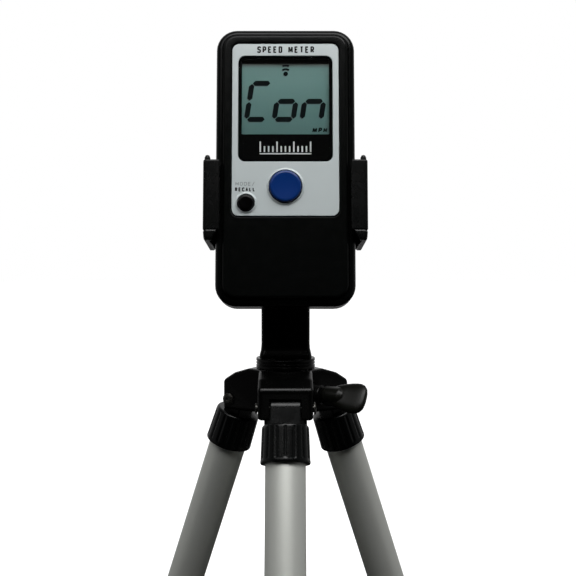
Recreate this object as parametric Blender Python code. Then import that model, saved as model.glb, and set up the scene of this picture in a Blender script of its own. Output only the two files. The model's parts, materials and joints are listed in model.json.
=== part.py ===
"""Pocket speed radar held by a spring-jaw cradle on a small pan-and-tilt tripod.

Run with: blender --background --python part.py

World frame: metres, +Z up, the floor at z = 0, the display facing -Y, and the origin on the floor at the
middle of the footprint. Four nested frames carry the parts:
  hub_frame    on the tripod's axis, at the height of the leg pivots
  LEG_leg_frame  on each leg's pivot, with -Z running down the leg and -Y facing out
  tilt_frame   on the tilt axis, leaning back with the cradle; X right, Y to the rear, Z up the cradle
  radar_frame  at the bottom front edge of the radar; Y is depth into the case, Z is height along it
"""

import math

import bmesh
import bpy
from mathutils import Matrix, Vector

MM = 0.001
GAP = 0.3 * MM  # between neighbouring pieces that touch on the real object
ROUND = 24  # sides of a large round piece
SMALL = 12  # sides of a small round piece

# Tripod
SPLAY = math.radians(20)
LEGS = {"front": 0.0, "right": math.radians(120), "left": math.radians(240)}
PIVOT_HEIGHT = 190 * MM
PIVOT_RADIUS = 23.5 * MM
PIN_RADIUS = 1.7 * MM
KNUCKLE_RADIUS = 4.3 * MM
TONGUE_HALF = 6.7 * MM
SOCKET_TOP = -7.6 * MM
SOCKET_BOTTOM = -24.5 * MM
SOCKET_RADIUS = 10.9 * MM
UPPER_TUBE_RADIUS = 8.8 * MM
LOWER_TUBE_RADIUS = 6.8 * MM
TUBE_WALL = 1.0 * MM
UPPER_TUBE_END = -168 * MM
LOWER_TUBE_TOP = -30 * MM
LOWER_TUBE_END = -186 * MM
TWIST_LOCK_TOP = -152 * MM
TWIST_LOCK_END = -176 * MM
FOOT_TOP = -176.4 * MM
FOOT_RADIUS = 8.6 * MM

# Spider, column and head
ARM_HALF = 12.2 * MM
ARM_REACH = 27 * MM
ARM_BOTTOM = -5 * MM
ROOF_UNDERSIDE = 4.6 * MM
HUB_TOP = 14.9 * MM
BARREL_RADIUS = 10 * MM
BARREL_END = -14 * MM
COLUMN_RADIUS = 6.1 * MM
COLUMN_END = -118 * MM
KNOB_AZIMUTH = math.radians(60)
KNOB_HEIGHT = 3.5 * MM
PADDLE_LEAN = math.radians(32)
RING_RADIUS = 13.6 * MM
RING_BOTTOM = HUB_TOP + GAP
RING_TOP = 19.8 * MM
NECK_HALF_WIDTH = 11 * MM
NECK_HALF_DEPTH = 8.5 * MM
EAR_SLOT_HALF = 5.2 * MM

# Tilt platform and cradle, in the tilt frame
TILT_HEIGHT = 48.5 * MM  # above the leg pivots
TILT_BACK = math.radians(8.5)
TILT_SCREW_RADIUS = 2.3 * MM
TILT_TONGUE_RADIUS = 7.4 * MM
PLATE_BOTTOM = 9 * MM
PLATE_TOP = 13 * MM
STUD_DEPTH = -3.9 * MM
STUD_RADIUS = 3.1 * MM
LOCK_RING_RADIUS = 10.2 * MM
FOOT_BLOCK_BOTTOM = 17.6 * MM
FOOT_BLOCK_TOP = 26 * MM
HOUSING_HALF = 25.5 * MM
HOUSING_TOP = 53.5 * MM
HOUSING_FRONT = -15.5 * MM
HOUSING_BACK = -3.3 * MM
HOUSING_WALL = 1.6 * MM
PINION_HEIGHT = 40 * MM
GEAR_MODULE = 0.8 * MM
PINION_TEETH = 10
PRESSURE_ANGLE = math.radians(20)
TOOTH_THICKNESS = 1.05 * MM
RACK_ADDENDUM = 0.5 * MM
RACK_DEDENDUM = 1.0 * MM
PINION_ADDENDUM = 0.7 * MM
ARM_FRONT = -12.6 * MM
ARM_BACK = -8.6 * MM
JAW_INSIDE = 32 * MM
JAW_OUTSIDE = 35 * MM
JAW_TOP = 54.3 * MM
JAW_BOTTOM = 19.6 * MM
JAW_TAPER = 24 * MM
LIP_EDGE = 28.2 * MM
LIP_FRONT = -41.3 * MM
PAD_THICKNESS = 1.3 * MM

# Radar, in the radar frame
RADAR_WIDTH = 60 * MM
RADAR_LENGTH = 121 * MM
RADAR_DEPTH = 23 * MM
RADAR_CORNER = 9 * MM
RADAR_FRONT = -39 * MM  # the radar frame's place behind the tilt axis
RADAR_FOOT = -8 * MM
SPLIT = 11.5 * MM  # depth of the joint between the two case halves
CASE_WALL = 1.8 * MM
FRONT_WALL = 2.4 * MM
PANEL_WIDTH = 45.8 * MM
PANEL_LOW, PANEL_HIGH = 38.3 * MM, 113.6 * MM
WINDOW_WIDTH = 40.6 * MM
WINDOW_LOW, WINDOW_HIGH = 61.8 * MM, 108.3 * MM
VIEW_HALF = 19 * MM
VIEW_LOW, VIEW_HIGH = 74 * MM, 106.8 * MM
MEASURE_BUTTON = (0.0, 50.9 * MM)
MODE_BUTTON = (-16.8 * MM, 43.9 * MM)
MEASURE_RADIUS = 6.9 * MM
MODE_RADIUS = 3.5 * MM
DOOR_HALF = 12.9 * MM
DOOR_TOP = 57.2 * MM
DOOR_FLOOR = 21.4 * MM
SCREW_X, SCREW_Z = 23.5 * MM, 8 * MM
BATTERY_X = 5.5 * MM
BATTERY_DEPTH = 15.7 * MM

# Outline of the case edge: depth from the flat face, and how far the outline is drawn in there
CASE_EDGE = [(0.0, 4.2), (0.35, 3.1), (1.4, 1.4), (3.4, 0.3), (5.4, 0.0)]

# Footprint of the three feet about the tripod's axis, which sets where the axis stands
FOOT_REACH = PIVOT_RADIUS + PIVOT_HEIGHT * math.tan(SPLAY)
SOLE_LONG = FOOT_RADIUS / math.cos(SPLAY)
FRONT_REACH = FOOT_REACH + SOLE_LONG
BACK_REACH = FOOT_REACH / 2 + math.hypot(SOLE_LONG / 2, FOOT_RADIUS * math.sin(math.radians(60)))
AXIS_Y = (FRONT_REACH - BACK_REACH) / 2


# ---------------------------------------------------------------- shapes

def circle(radius, sides=ROUND, centre=(0.0, 0.0), start=0.0):
    """Points of a regular polygon whose corners lie on the circle."""
    step = 2 * math.pi / sides
    return [
        (centre[0] + radius * math.cos(start + i * step), centre[1] + radius * math.sin(start + i * step))
        for i in range(sides)
    ]


def arc(centre, radius, first, last, steps):
    """Points along an arc, both ends included; angles in degrees."""
    angles = [math.radians(first + (last - first) * i / steps) for i in range(steps + 1)]
    return [(centre[0] + radius * math.cos(a), centre[1] + radius * math.sin(a)) for a in angles]


def rounded_box(left, right, low, high, radius, steps=4):
    """Outline of a rectangle with round corners."""
    corners = [
        ((right - radius, low + radius), -90),
        ((right - radius, high - radius), 0),
        ((left + radius, high - radius), 90),
        ((left + radius, low + radius), 180),
    ]
    return [point for centre, turn in corners for point in arc(centre, radius, turn, turn + 90, steps)]


def box_outline(left, right, low, high):
    return [(left, low), (right, low), (right, high), (left, high)]


def on_axis(u, v, w, axis):
    """A point from its two outline coordinates and its place along the axis."""
    return {"X": (w, u, v), "Y": (u, w, v), "Z": (u, v, w)}[axis]


def close_mesh(bm):
    bmesh.ops.remove_doubles(bm, verts=bm.verts, dist=1e-6)
    bmesh.ops.recalc_face_normals(bm, faces=bm.faces)
    return bm


def loft(rings):
    """Closed solid through rings of points, with a flat cap on the first and last."""
    bm = bmesh.new()
    rows = [[bm.verts.new(point) for point in ring] for ring in rings]
    count = len(rows[0])
    for lower, upper in zip(rows, rows[1:]):
        for i in range(count):
            j = (i + 1) % count
            bm.faces.new((lower[i], lower[j], upper[j], upper[i]))
    bm.faces.new(reversed(rows[0]))
    bm.faces.new(rows[-1])
    return close_mesh(bm)


def prism(outline, low, high, axis="Z"):
    return loft([[on_axis(u, v, w, axis) for u, v in outline] for w in (low, high)])


def turned(profile, axis="Z", centre=(0.0, 0.0), sides=ROUND):
    """Solid of revolution. Its (radius, place) points end on the axis, or form a loop clear of it."""
    bm = bmesh.new()
    rows = []
    for radius, place in profile:
        outline = [centre] if radius == 0 else circle(radius, sides, centre)
        rows.append([bm.verts.new(on_axis(u, v, place, axis)) for u, v in outline])
    pairs = list(zip(rows, rows[1:]))
    if profile[0][0] > 0:
        pairs.append((rows[-1], rows[0]))
    for lower, upper in pairs:
        for i in range(sides):
            j = (i + 1) % sides
            corners = [lower[i % len(lower)], lower[j % len(lower)]]
            corners += [upper[j % len(upper)], upper[i % len(upper)]]
            face = list(dict.fromkeys(corners))
            if len(face) > 2:
                bm.faces.new(face)
    return close_mesh(bm)


def cylinder(radius, low, high, axis="Z", centre=(0.0, 0.0), sides=ROUND):
    return prism(circle(radius, sides, centre), low, high, axis)


def ring(inner, outer, low, high, axis="Z", centre=(0.0, 0.0), sides=ROUND):
    return turned([(inner, low), (outer, low), (outer, high), (inner, high)], axis, centre, sides)


def box(x, y, z):
    return prism(box_outline(*x, *y), z[0], z[1])


# ---------------------------------------------------------------- scene

def material(name, colour, roughness, metallic=0.0):
    made = bpy.data.materials.new(name)
    made.use_nodes = True
    shader = made.node_tree.nodes["Principled BSDF"]
    shader.inputs["Base Color"].default_value = (*colour, 1.0)
    shader.inputs["Roughness"].default_value = roughness
    shader.inputs["Metallic"].default_value = metallic
    return made


def make_materials():
    return {
        "case": material("case_plastic", (0.018, 0.019, 0.020), 0.38),
        "moulding": material("tripod_plastic", (0.014, 0.015, 0.016), 0.32),
        "cradle": material("cradle_plastic", (0.022, 0.024, 0.025), 0.55),
        "rubber": material("soft_rubber", (0.020, 0.020, 0.021), 0.85),
        "panel": material("silver_panel", (0.60, 0.63, 0.64), 0.42),
        "tube": material("anodised_aluminium", (0.60, 0.60, 0.58), 0.34, 1.0),
        "steel": material("bright_steel", (0.62, 0.61, 0.58), 0.28, 1.0),
        "brass": material("brass", (0.72, 0.55, 0.25), 0.30, 1.0),
        "blue": material("blue_key", (0.010, 0.055, 0.30), 0.30),
        "black_key": material("black_key", (0.008, 0.008, 0.009), 0.18),
        "lens": material("clear_lens", (0.75, 0.80, 0.80), 0.05),
        "mask": material("black_mask", (0.006, 0.006, 0.007), 0.15),
        "lcd": material("lcd_glass", (0.30, 0.43, 0.40), 0.25),
        "white": material("white_plastic", (0.70, 0.70, 0.68), 0.60),
        "board": material("green_board", (0.02, 0.14, 0.05), 0.45),
        "cell": material("battery_sleeve", (0.10, 0.11, 0.12), 0.35),
    }


def frame(name, place, turn=(0.0, 0.0, 0.0), parent=None):
    """An empty that carries parts."""
    empty = bpy.data.objects.new(name, None)
    empty.location = place
    empty.rotation_euler = turn
    empty.parent = parent
    bpy.context.scene.collection.objects.link(empty)
    return empty


def add(name, bm, look, parent, place=(0.0, 0.0, 0.0)):
    """Turns a bmesh into a named object that hangs on a frame."""
    mesh = bpy.data.meshes.new(name)
    bm.to_mesh(mesh)
    bm.free()
    mesh.shade_smooth()
    mesh.set_sharp_from_angle(angle=math.radians(35))
    made = bpy.data.objects.new(name, mesh)
    if look is not None:
        mesh.materials.append(look)
    made.parent = parent
    made.location = place
    bpy.context.scene.collection.objects.link(made)
    return made


def combine(target, operation, *tools):
    """Boolean modifiers on target, with tools drawn in the target's own frame."""
    for bm in tools:
        tool = add(f"{target.name}_tool", bm, None, target.parent, target.location)
        tool.hide_render = True
        tool.display_type = "WIRE"
        modifier = target.modifiers.new(operation.lower(), "BOOLEAN")
        modifier.operation = operation
        modifier.solver = "EXACT"
        modifier.object = tool
    return target


def join(target, *tools):
    return combine(target, "UNION", *tools)


def cut(target, *tools):
    return combine(target, "DIFFERENCE", *tools)


def turned_copy(bm, angle):
    """The same shape turned about Z."""
    bmesh.ops.rotate(bm, verts=bm.verts, matrix=Matrix.Rotation(angle, 3, "Z"))
    return bm


# ---------------------------------------------------------------- tripod

def make_spider(look, hub):
    """Hub: three clevis arms under a shallow dome, a barrel for the column and a boss for its screw."""
    inner = ARM_HALF / math.sin(math.radians(60))
    outline = []
    for angle in sorted(LEGS.values()):
        across = Vector((math.cos(angle), math.sin(angle)))
        out = Vector((math.sin(angle), -math.cos(angle)))
        outline.append(tuple(out * ARM_REACH - across * ARM_HALF))
        outline.append(tuple(out * ARM_REACH + across * ARM_HALF))
        corner = angle + math.radians(60)
        outline.append((inner * math.sin(corner), -inner * math.cos(corner)))
    spider = add("spider", prism(outline, ARM_BOTTOM, HUB_TOP + 2 * MM), look, hub)
    dome = [(0, -20), (33, -20), (33, 3.0), (29.6, 7.6), (26.5, 10.3), (20.5, 13.0), (13.5, 14.9), (0, 14.9)]
    combine(spider, "INTERSECT", turned([(r * MM, z * MM) for r, z in dome]))
    boss = cylinder(6.2 * MM, -19.2 * MM, -7 * MM, "Y", (0.0, KNOB_HEIGHT), 16)
    join(spider, cylinder(BARREL_RADIUS, BARREL_END, 0.0), turned_copy(boss, KNOB_AZIMUTH))
    for angle in LEGS.values():
        slot_half = TONGUE_HALF + GAP
        slot = box((-slot_half, slot_half), (-40 * MM, -15.5 * MM), (ARM_BOTTOM - 5 * MM, ROOF_UNDERSIDE))
        hole = cylinder(PIN_RADIUS + GAP, -16 * MM, 16 * MM, "X", (-PIVOT_RADIUS, 0.0), SMALL)
        cut(spider, turned_copy(slot, angle), turned_copy(hole, angle))
    cut(spider, cylinder(COLUMN_RADIUS + GAP, -30 * MM, 30 * MM))
    thread = cylinder(2.6 * MM, -30 * MM, 0.0, "Y", (0.0, KNOB_HEIGHT), SMALL)
    return cut(spider, turned_copy(thread, KNOB_AZIMUTH))


def make_column(looks, hub):
    """Centre column, the grooved ring on its top that the head turns on, and the cap that stops it below."""
    wall = 1.1 * MM
    tube = ring(COLUMN_RADIUS - wall, COLUMN_RADIUS, COLUMN_END, RING_TOP)
    add("column", tube, looks["tube"], hub)
    bore = COLUMN_RADIUS + GAP
    groove = RING_RADIUS - 0.6 * MM
    low, high = RING_BOTTOM, RING_TOP
    steps = [0.0, 0.28, 0.36, 0.52, 0.60, 1.0]
    places = [low + (high - low) * share for share in steps]
    radii = [RING_RADIUS, RING_RADIUS, groove, groove, RING_RADIUS, RING_RADIUS]
    profile = [(bore, low), *zip(radii, places), (bore, high)]
    add("pan_ring", turned(profile), looks["moulding"], hub)
    cap = [(0, -128), (6.6, -128), (7.6, -126.5), (7.6, -118.3), (4.7, -118.3), (4.7, -108), (0, -108)]
    add("column_cap", turned([(r * MM, z * MM) for r, z in cap]), looks["rubber"], hub)


def make_column_knob(look, hub):
    """Screw with a flattened paddle handle that clamps the column. Its axis is the frame's Y."""
    knob_frame = frame("knob_frame", (0.0, 0.0, KNOB_HEIGHT), (0.0, 0.0, KNOB_AZIMUTH), hub)
    stem = [(0, -6.6), (2.3, -6.6), (2.3, -19.6), (3.5, -19.6), (4.1, -23), (4.1, -27), (0, -27)]
    knob = add("column_knob", turned([(r * MM, y * MM) for r, y in stem], "Y", sides=16), look, knob_frame)
    paddle = [(-24.5, 3.6, 3.6), (-28, 4.9, 3.4), (-33, 6.9, 3.0)]  # place, half height, half thickness
    paddle += [(-37.5, 7.1, 2.8), (-40.2, 5.4, 2.2), (-41, 3.2, 1.2)]
    rings = []
    for place, tall, thick in paddle:
        rings.append([(thick * u, place * MM, tall * v) for u, v in circle(MM, 16)])
    wing = loft(rings)
    bmesh.ops.rotate(wing, verts=wing.verts, matrix=Matrix.Rotation(PADDLE_LEAN, 3, "Y"))
    return join(knob, wing)


def make_leg(name, angle, looks, hub):
    """One two-section leg: hinge block with its tube socket, pin, tubes, twist lock and rubber foot."""
    out = (PIVOT_RADIUS * math.sin(angle), -PIVOT_RADIUS * math.cos(angle), 0.0)
    leg = frame(f"{name}_leg_frame", out, (-SPLAY, 0.0, angle), hub)

    tongue = arc((0.0, 0.0), KNUCKLE_RADIUS, 0, 180, 8)
    tongue += [(-KNUCKLE_RADIUS, -9 * MM), (KNUCKLE_RADIUS, -9 * MM)]
    block = add(f"{name}_leg_block", prism(tongue, -TONGUE_HALF, TONGUE_HALF, "X"), looks["moulding"], leg)
    socket = [(0, SOCKET_TOP), (9.6 * MM, SOCKET_TOP), (10.6 * MM, SOCKET_TOP - 1.0 * MM)]
    socket += [(SOCKET_RADIUS, SOCKET_BOTTOM), (0, SOCKET_BOTTOM)]
    join(block, turned(socket))
    bore = UPPER_TUBE_RADIUS + GAP
    cut(block, cylinder(bore, SOCKET_BOTTOM - 5 * MM, -10.3 * MM))
    cut(block, cylinder(PIN_RADIUS + GAP, -20 * MM, 20 * MM, "X", sides=SMALL))

    head = ARM_HALF + GAP
    pin = [(0, -head - 0.8 * MM), (2.4 * MM, -head - 0.8 * MM), (2.4 * MM, -head), (PIN_RADIUS, -head)]
    pin += [(PIN_RADIUS, head), (2.9 * MM, head), (2.9 * MM, head + 0.7 * MM), (0, head + 1.1 * MM)]
    add(f"{name}_leg_pin", turned(pin, "X", sides=SMALL), looks["steel"], leg)

    upper = ring(UPPER_TUBE_RADIUS - TUBE_WALL, UPPER_TUBE_RADIUS, UPPER_TUBE_END, -10.6 * MM)
    add(f"{name}_upper_tube", upper, looks["tube"], leg)

    slide_bore = LOWER_TUBE_RADIUS + GAP
    shoulder = UPPER_TUBE_END - 0.5 * MM
    lock = [(bore, TWIST_LOCK_TOP), (9.9 * MM, TWIST_LOCK_TOP), (SOCKET_RADIUS, TWIST_LOCK_TOP - 2 * MM)]
    lock += [(SOCKET_RADIUS, TWIST_LOCK_END + 3 * MM), (9.2 * MM, TWIST_LOCK_END)]
    lock += [(slide_bore, TWIST_LOCK_END), (slide_bore, shoulder), (bore, shoulder)]
    add(f"{name}_twist_lock", turned(lock), looks["moulding"], leg)

    lower = ring(LOWER_TUBE_RADIUS - TUBE_WALL, LOWER_TUBE_RADIUS, LOWER_TUBE_END, LOWER_TUBE_TOP)
    add(f"{name}_lower_tube", lower, looks["tube"], leg)
    add(f"{name}_foot", foot_shape(), looks["rubber"], leg)


def foot_shape():
    """Rubber cup on the lower tube. Its sole lies on the floor, so it is slanted across the leg."""
    cup_floor = LOWER_TUBE_END - GAP
    cup = LOWER_TUBE_RADIUS + GAP

    def level(radius, place):
        return [(x, y, place) for x, y in circle(radius)]

    def sole(radius):
        return [(x, y, y * math.tan(SPLAY) - PIVOT_HEIGHT / math.cos(SPLAY)) for x, y in circle(radius)]

    rings = [level(cup, cup_floor), level(cup, FOOT_TOP), level(7.9 * MM, FOOT_TOP)]
    rings += [level(FOOT_RADIUS, FOOT_TOP - 1.5 * MM), level(FOOT_RADIUS, -192 * MM), sole(FOOT_RADIUS)]
    return loft(rings)


def make_neck(looks, hub):
    """Turning post of the head: a flared base on a spigot, and two ears around the tilt screw."""
    low = RING_TOP + GAP
    side = [(-NECK_HALF_DEPTH, low + 4 * MM), (NECK_HALF_DEPTH, low + 4 * MM)]
    side += arc((0.0, TILT_HEIGHT), NECK_HALF_DEPTH, 0, 180, 12)
    neck = add("pan_neck", prism(side, -NECK_HALF_WIDTH, NECK_HALF_WIDTH, "X"), looks["moulding"], hub)
    bevel = neck.modifiers.new("round_edges", "BEVEL")
    bevel.width = 1.6 * MM
    bevel.segments = 2
    bevel.limit_method = "ANGLE"
    bevel.angle_limit = math.radians(40)
    flare = []
    for place, half_x, half_y in ((0.0, 11.9, 10.0), (1.0, 11.8, 9.9), (3.4, 11.25, 9.0), (6.3, 11.15, 8.8)):
        outline = rounded_box(-half_x * MM, half_x * MM, -half_y * MM, half_y * MM, 2.4 * MM, 3)
        flare.append([(x, y, low + place * MM) for x, y in outline])
    join(neck, loft(flare), cylinder(4.6 * MM, 8 * MM, low + 2 * MM, sides=16))
    # The slot between the ears is open at the top and to the rear, and round below the tilt axis in front.
    pocket = TILT_TONGUE_RADIUS + 0.4 * MM
    slot = arc((0.0, TILT_HEIGHT), pocket, 180, 270, 6)
    slot += [(20 * MM, TILT_HEIGHT - pocket), (20 * MM, TILT_HEIGHT + 20 * MM)]
    slot += [(-20 * MM, TILT_HEIGHT + 20 * MM), (-20 * MM, TILT_HEIGHT)]
    hole = cylinder(TILT_SCREW_RADIUS + GAP, -20 * MM, 20 * MM, "X", (0.0, TILT_HEIGHT), SMALL)
    return cut(neck, prism(slot, -EAR_SLOT_HALF, EAR_SLOT_HALF, "X"), hole)


# ---------------------------------------------------------------- tilt head

def make_tilt_head(looks, tilt):
    """Platform with its fixed stud, the jam ring on the stud, and the screw knob that clamps the tilt."""
    half = EAR_SLOT_HALF - GAP
    tongue = arc((0.0, 0.0), TILT_TONGUE_RADIUS, 143, 397, 14)
    tongue += [(5.9 * MM, PLATE_BOTTOM + 1 * MM), (-5.9 * MM, PLATE_BOTTOM + 1 * MM)]
    platform = add("tilt_platform", prism(tongue, -half, half, "X"), looks["moulding"], tilt)
    plate = rounded_box(-15 * MM, 15 * MM, -15.2 * MM, 7.4 * MM, 3 * MM)
    join(platform, prism(plate, PLATE_BOTTOM, PLATE_TOP))
    cut(platform, cylinder(TILT_SCREW_RADIUS + GAP, -20 * MM, 20 * MM, "X", sides=SMALL))
    cut(platform, cylinder(STUD_RADIUS + GAP, 7.9 * MM, 20 * MM, centre=(0.0, STUD_DEPTH), sides=SMALL))

    stud_place = (0.0, STUD_DEPTH, 0.0)
    stud = [(0, 8.2), (3.1, 8.2), (3.1, 23.6), (2.4, 24.5), (0, 24.5)]
    shape = turned([(r * MM, z * MM) for r, z in stud], sides=SMALL)
    add("mount_stud", shape, looks["steel"], tilt, stud_place)
    lobes = 20
    outline = []
    for i in range(2 * lobes):
        radius = LOCK_RING_RADIUS - (0.0 if i % 2 else 0.7 * MM)
        angle = math.pi * i / lobes
        outline.append((radius * math.cos(angle), radius * math.sin(angle)))
    shape = prism(outline, PLATE_TOP + GAP, FOOT_BLOCK_BOTTOM - GAP)
    lock_ring = add("lock_ring", shape, looks["moulding"], tilt, stud_place)
    cut(lock_ring, cylinder(STUD_RADIUS + GAP, 0.0, 30 * MM, sides=SMALL))

    screw = [(0, 10.4), (2.3, 10.4), (2.3, -11.3), (4.4, -11.3)]
    screw += [(4.8, -12.1), (4.8, -17.5), (3.6, -19.5), (0, -19.5)]
    shape = turned([(r * MM, x * MM) for r, x in screw], "X", sides=16)
    knob = add("tilt_knob", shape, looks["moulding"], tilt)
    wing = rounded_box(-7.4 * MM, 7.4 * MM, -2.1 * MM, 2.1 * MM, 2 * MM, 3)
    join(knob, prism(wing, -25 * MM, -17 * MM, "X"))


# ---------------------------------------------------------------- cradle

def make_housing(looks, tilt):
    """Gearbox of the cradle: an open-backed box on a foot block, with the pinion post and two screw posts."""
    shell = rounded_box(-HOUSING_HALF, HOUSING_HALF, FOOT_BLOCK_TOP - 1 * MM, HOUSING_TOP, 4 * MM)
    housing = add("holder_housing", prism(shell, HOUSING_FRONT, HOUSING_BACK, "Y"), looks["cradle"], tilt)
    foot = rounded_box(-13 * MM, 13 * MM, HOUSING_FRONT + 0.1 * MM, 4 * MM, 2 * MM, 3)
    join(housing, prism(foot, FOOT_BLOCK_BOTTOM, FOOT_BLOCK_TOP))
    inside = HOUSING_HALF - HOUSING_WALL
    cavity_front = HOUSING_FRONT + HOUSING_WALL
    cavity = rounded_box(-inside, inside, 28 * MM, HOUSING_TOP - HOUSING_WALL, 2.4 * MM, 3)
    cut(housing, prism(cavity, cavity_front, 0.0, "Y"))
    posts = [cylinder(1.5 * MM, cavity_front - 0.5 * MM, -4 * MM, "Y", (0.0, PINION_HEIGHT), SMALL)]
    for side in (-1, 1):
        centre = (side * 20 * MM, PINION_HEIGHT)
        posts.append(cylinder(2.6 * MM, cavity_front - 0.5 * MM, HOUSING_BACK - 0.1 * MM, "Y", centre, SMALL))
    join(housing, *posts)
    slot_depth = (ARM_FRONT - GAP, ARM_BACK + GAP)
    for side in (-1, 1):
        low, high = sorted((PINION_HEIGHT + side * 4.7 * MM, PINION_HEIGHT + side * 11.3 * MM))
        across = sorted((side * 20 * MM, side * 30 * MM))
        cut(housing, box(across, slot_depth, (low, high)))
        centre = (side * 20 * MM, PINION_HEIGHT)
        cut(housing, cylinder(1.3 * MM, -11 * MM, 0.0, "Y", centre, SMALL))
    well = cylinder(4.8 * MM, 10 * MM, 25 * MM, centre=(0.0, STUD_DEPTH), sides=16)
    cut(housing, well)

    insert = ring(STUD_RADIUS + GAP, 4.5 * MM, 17.9 * MM, 24.7 * MM, sides=16)
    add("thread_insert", insert, looks["brass"], tilt, (0.0, STUD_DEPTH, 0.0))

    lid = rounded_box(-HOUSING_HALF, HOUSING_HALF, FOOT_BLOCK_TOP + GAP, HOUSING_TOP, 4 * MM)
    cover = add("holder_cover", prism(lid, HOUSING_BACK + GAP, -0.8 * MM, "Y"), looks["cradle"], tilt)
    for number, side in enumerate((-1, 1), 1):
        centre = (side * 20 * MM, PINION_HEIGHT)
        cut(cover, cylinder(1.4 * MM, -5 * MM, 1 * MM, "Y", centre, SMALL))
        cut(cover, cylinder(2.6 * MM, -2.1 * MM, 1 * MM, "Y", centre, SMALL))
        screw = [(0, -9.5), (1.0, -9.5), (1.0, -1.8), (2.3, -1.8), (2.3, -1.0), (0, -1.0)]
        shape = turned([(r * MM, y * MM) for r, y in screw], "Y", sides=SMALL)
        add(f"cover_screw_{number}", shape, looks["steel"], tilt, (centre[0], 0.0, centre[1]))


def rack_outline(first, last):
    """The right arm's toothed lower edge, from the first tooth number to the last, as (x, height) points."""
    pitch = math.pi * GEAR_MODULE
    line = PINION_HEIGHT + PINION_TEETH * GEAR_MODULE / 2
    tip, root = line - RACK_ADDENDUM, line + RACK_DEDENDUM
    slope = math.tan(PRESSURE_ANGLE)
    points = []
    for number in range(first, last + 1):
        middle = (number + 0.5) * pitch
        tip_half = TOOTH_THICKNESS / 2 - RACK_ADDENDUM * slope
        root_half = TOOTH_THICKNESS / 2 + RACK_DEDENDUM * slope
        points += [(middle - root_half, root), (middle - tip_half, tip)]
        points += [(middle + tip_half, tip), (middle + root_half, root)]
    return points


def make_jaw(name, side, looks, tilt):
    """A jaw with its rack arm, and its soft pad. The left jaw is the right one mirrored, its rack below."""
    arm_top = PINION_HEIGHT + 11 * MM
    teeth = rack_outline(-6, 1)
    arm_low = teeth[0][1]
    arm = [(-15.5 * MM, arm_low), *teeth, (31 * MM, arm_low), (31 * MM, arm_top), (-15.5 * MM, arm_top)]
    parts = [prism(arm, ARM_FRONT, ARM_BACK, "Y")]
    spine = [(26.3, 20), (33.5, 20), (35, 23), (35, 52), (33.5, 54), (26.3, 54)]
    parts.append(prism([(x * MM, z * MM) for x, z in spine], -15.3 * MM, ARM_BACK, "Y"))
    inside, outside = JAW_INSIDE, JAW_OUTSIDE
    wall = [(inside - 0.6 * MM, JAW_BOTTOM + 0.8 * MM), (inside + 0.1 * MM, JAW_BOTTOM)]
    wall += [(outside - 1.7 * MM, JAW_BOTTOM), (outside - 0.5 * MM, JAW_BOTTOM + 1.6 * MM)]
    wall += [(outside, JAW_TAPER), (outside, JAW_TOP), (inside, JAW_TOP), (inside, JAW_BOTTOM + 3.4 * MM)]
    parts.append(prism(wall, LIP_FRONT, ARM_BACK - 0.5 * MM, "Y"))
    lip = [(LIP_EDGE, JAW_TAPER), (inside + 1 * MM, JAW_BOTTOM + 1.4 * MM), (outside - 0.5 * MM, JAW_TAPER)]
    lip += [(outside - 0.5 * MM, JAW_TOP - 0.5 * MM), (LIP_EDGE, JAW_TOP - 0.5 * MM)]
    parts.append(prism(lip, LIP_FRONT + 0.2 * MM, -39.4 * MM, "Y"))
    nub = [(0, 52), (1.2, 52), (1.2, 55.4), (0.7, 56.4), (0, 56.7)]
    parts.append(turned([(r * MM, z * MM) for r, z in nub], centre=(33.3 * MM, -38.5 * MM), sides=SMALL))
    pad_back = -16.6 * MM
    pad_front = -38.6 * MM
    pad_high = inside - GAP
    pad_shape = rounded_box(pad_front, pad_back, JAW_TAPER, JAW_TOP - 1 * MM, 1.5 * MM, 3)
    pad = prism(pad_shape, pad_high - PAD_THICKNESS, pad_high, "X")
    if side < 0:
        # The left rack runs under the pinion, so its arm is also flipped about the pinion's height.
        mirror = Matrix.Diagonal((-1, 1, 1))
        for shape in [*parts, pad]:
            bmesh.ops.transform(shape, matrix=mirror.to_4x4(), verts=shape.verts)
        flip = Matrix.Translation((0, 0, 2 * PINION_HEIGHT)) @ Matrix.Diagonal((1, 1, -1, 1))
        bmesh.ops.transform(parts[0], matrix=flip, verts=parts[0].verts)
        for shape in [*parts, pad]:
            bmesh.ops.recalc_face_normals(shape, faces=shape.faces)
    jaw = add(f"{name}_jaw", parts[0], looks["cradle"], tilt)
    join(jaw, *parts[1:])
    add(f"{name}_pad", pad, looks["rubber"], tilt)


def pinion_outline():
    """Involute teeth, with one tooth pointing straight up the cradle."""
    pitch_radius = PINION_TEETH * GEAR_MODULE / 2
    base = pitch_radius * math.cos(PRESSURE_ANGLE)
    root = pitch_radius - RACK_ADDENDUM - 0.35 * MM
    tip = pitch_radius + PINION_ADDENDUM

    def involute(radius):
        angle = math.acos(min(1.0, base / radius))
        return math.tan(angle) - angle

    half = TOOTH_THICKNESS / 2 / pitch_radius + involute(pitch_radius)
    flank = [base + (tip - base) * share for share in (0.0, 0.35, 0.7, 1.0)]
    side = [(root, half)] + [(radius, half - involute(radius)) for radius in flank]
    points = []
    for tooth in range(PINION_TEETH):
        middle = math.pi / 2 + 2 * math.pi * tooth / PINION_TEETH
        for radius, angle in side:
            points.append((radius * math.cos(middle - angle), radius * math.sin(middle - angle)))
        for radius, angle in reversed(side):
            points.append((radius * math.cos(middle + angle), radius * math.sin(middle + angle)))
    return points


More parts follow.
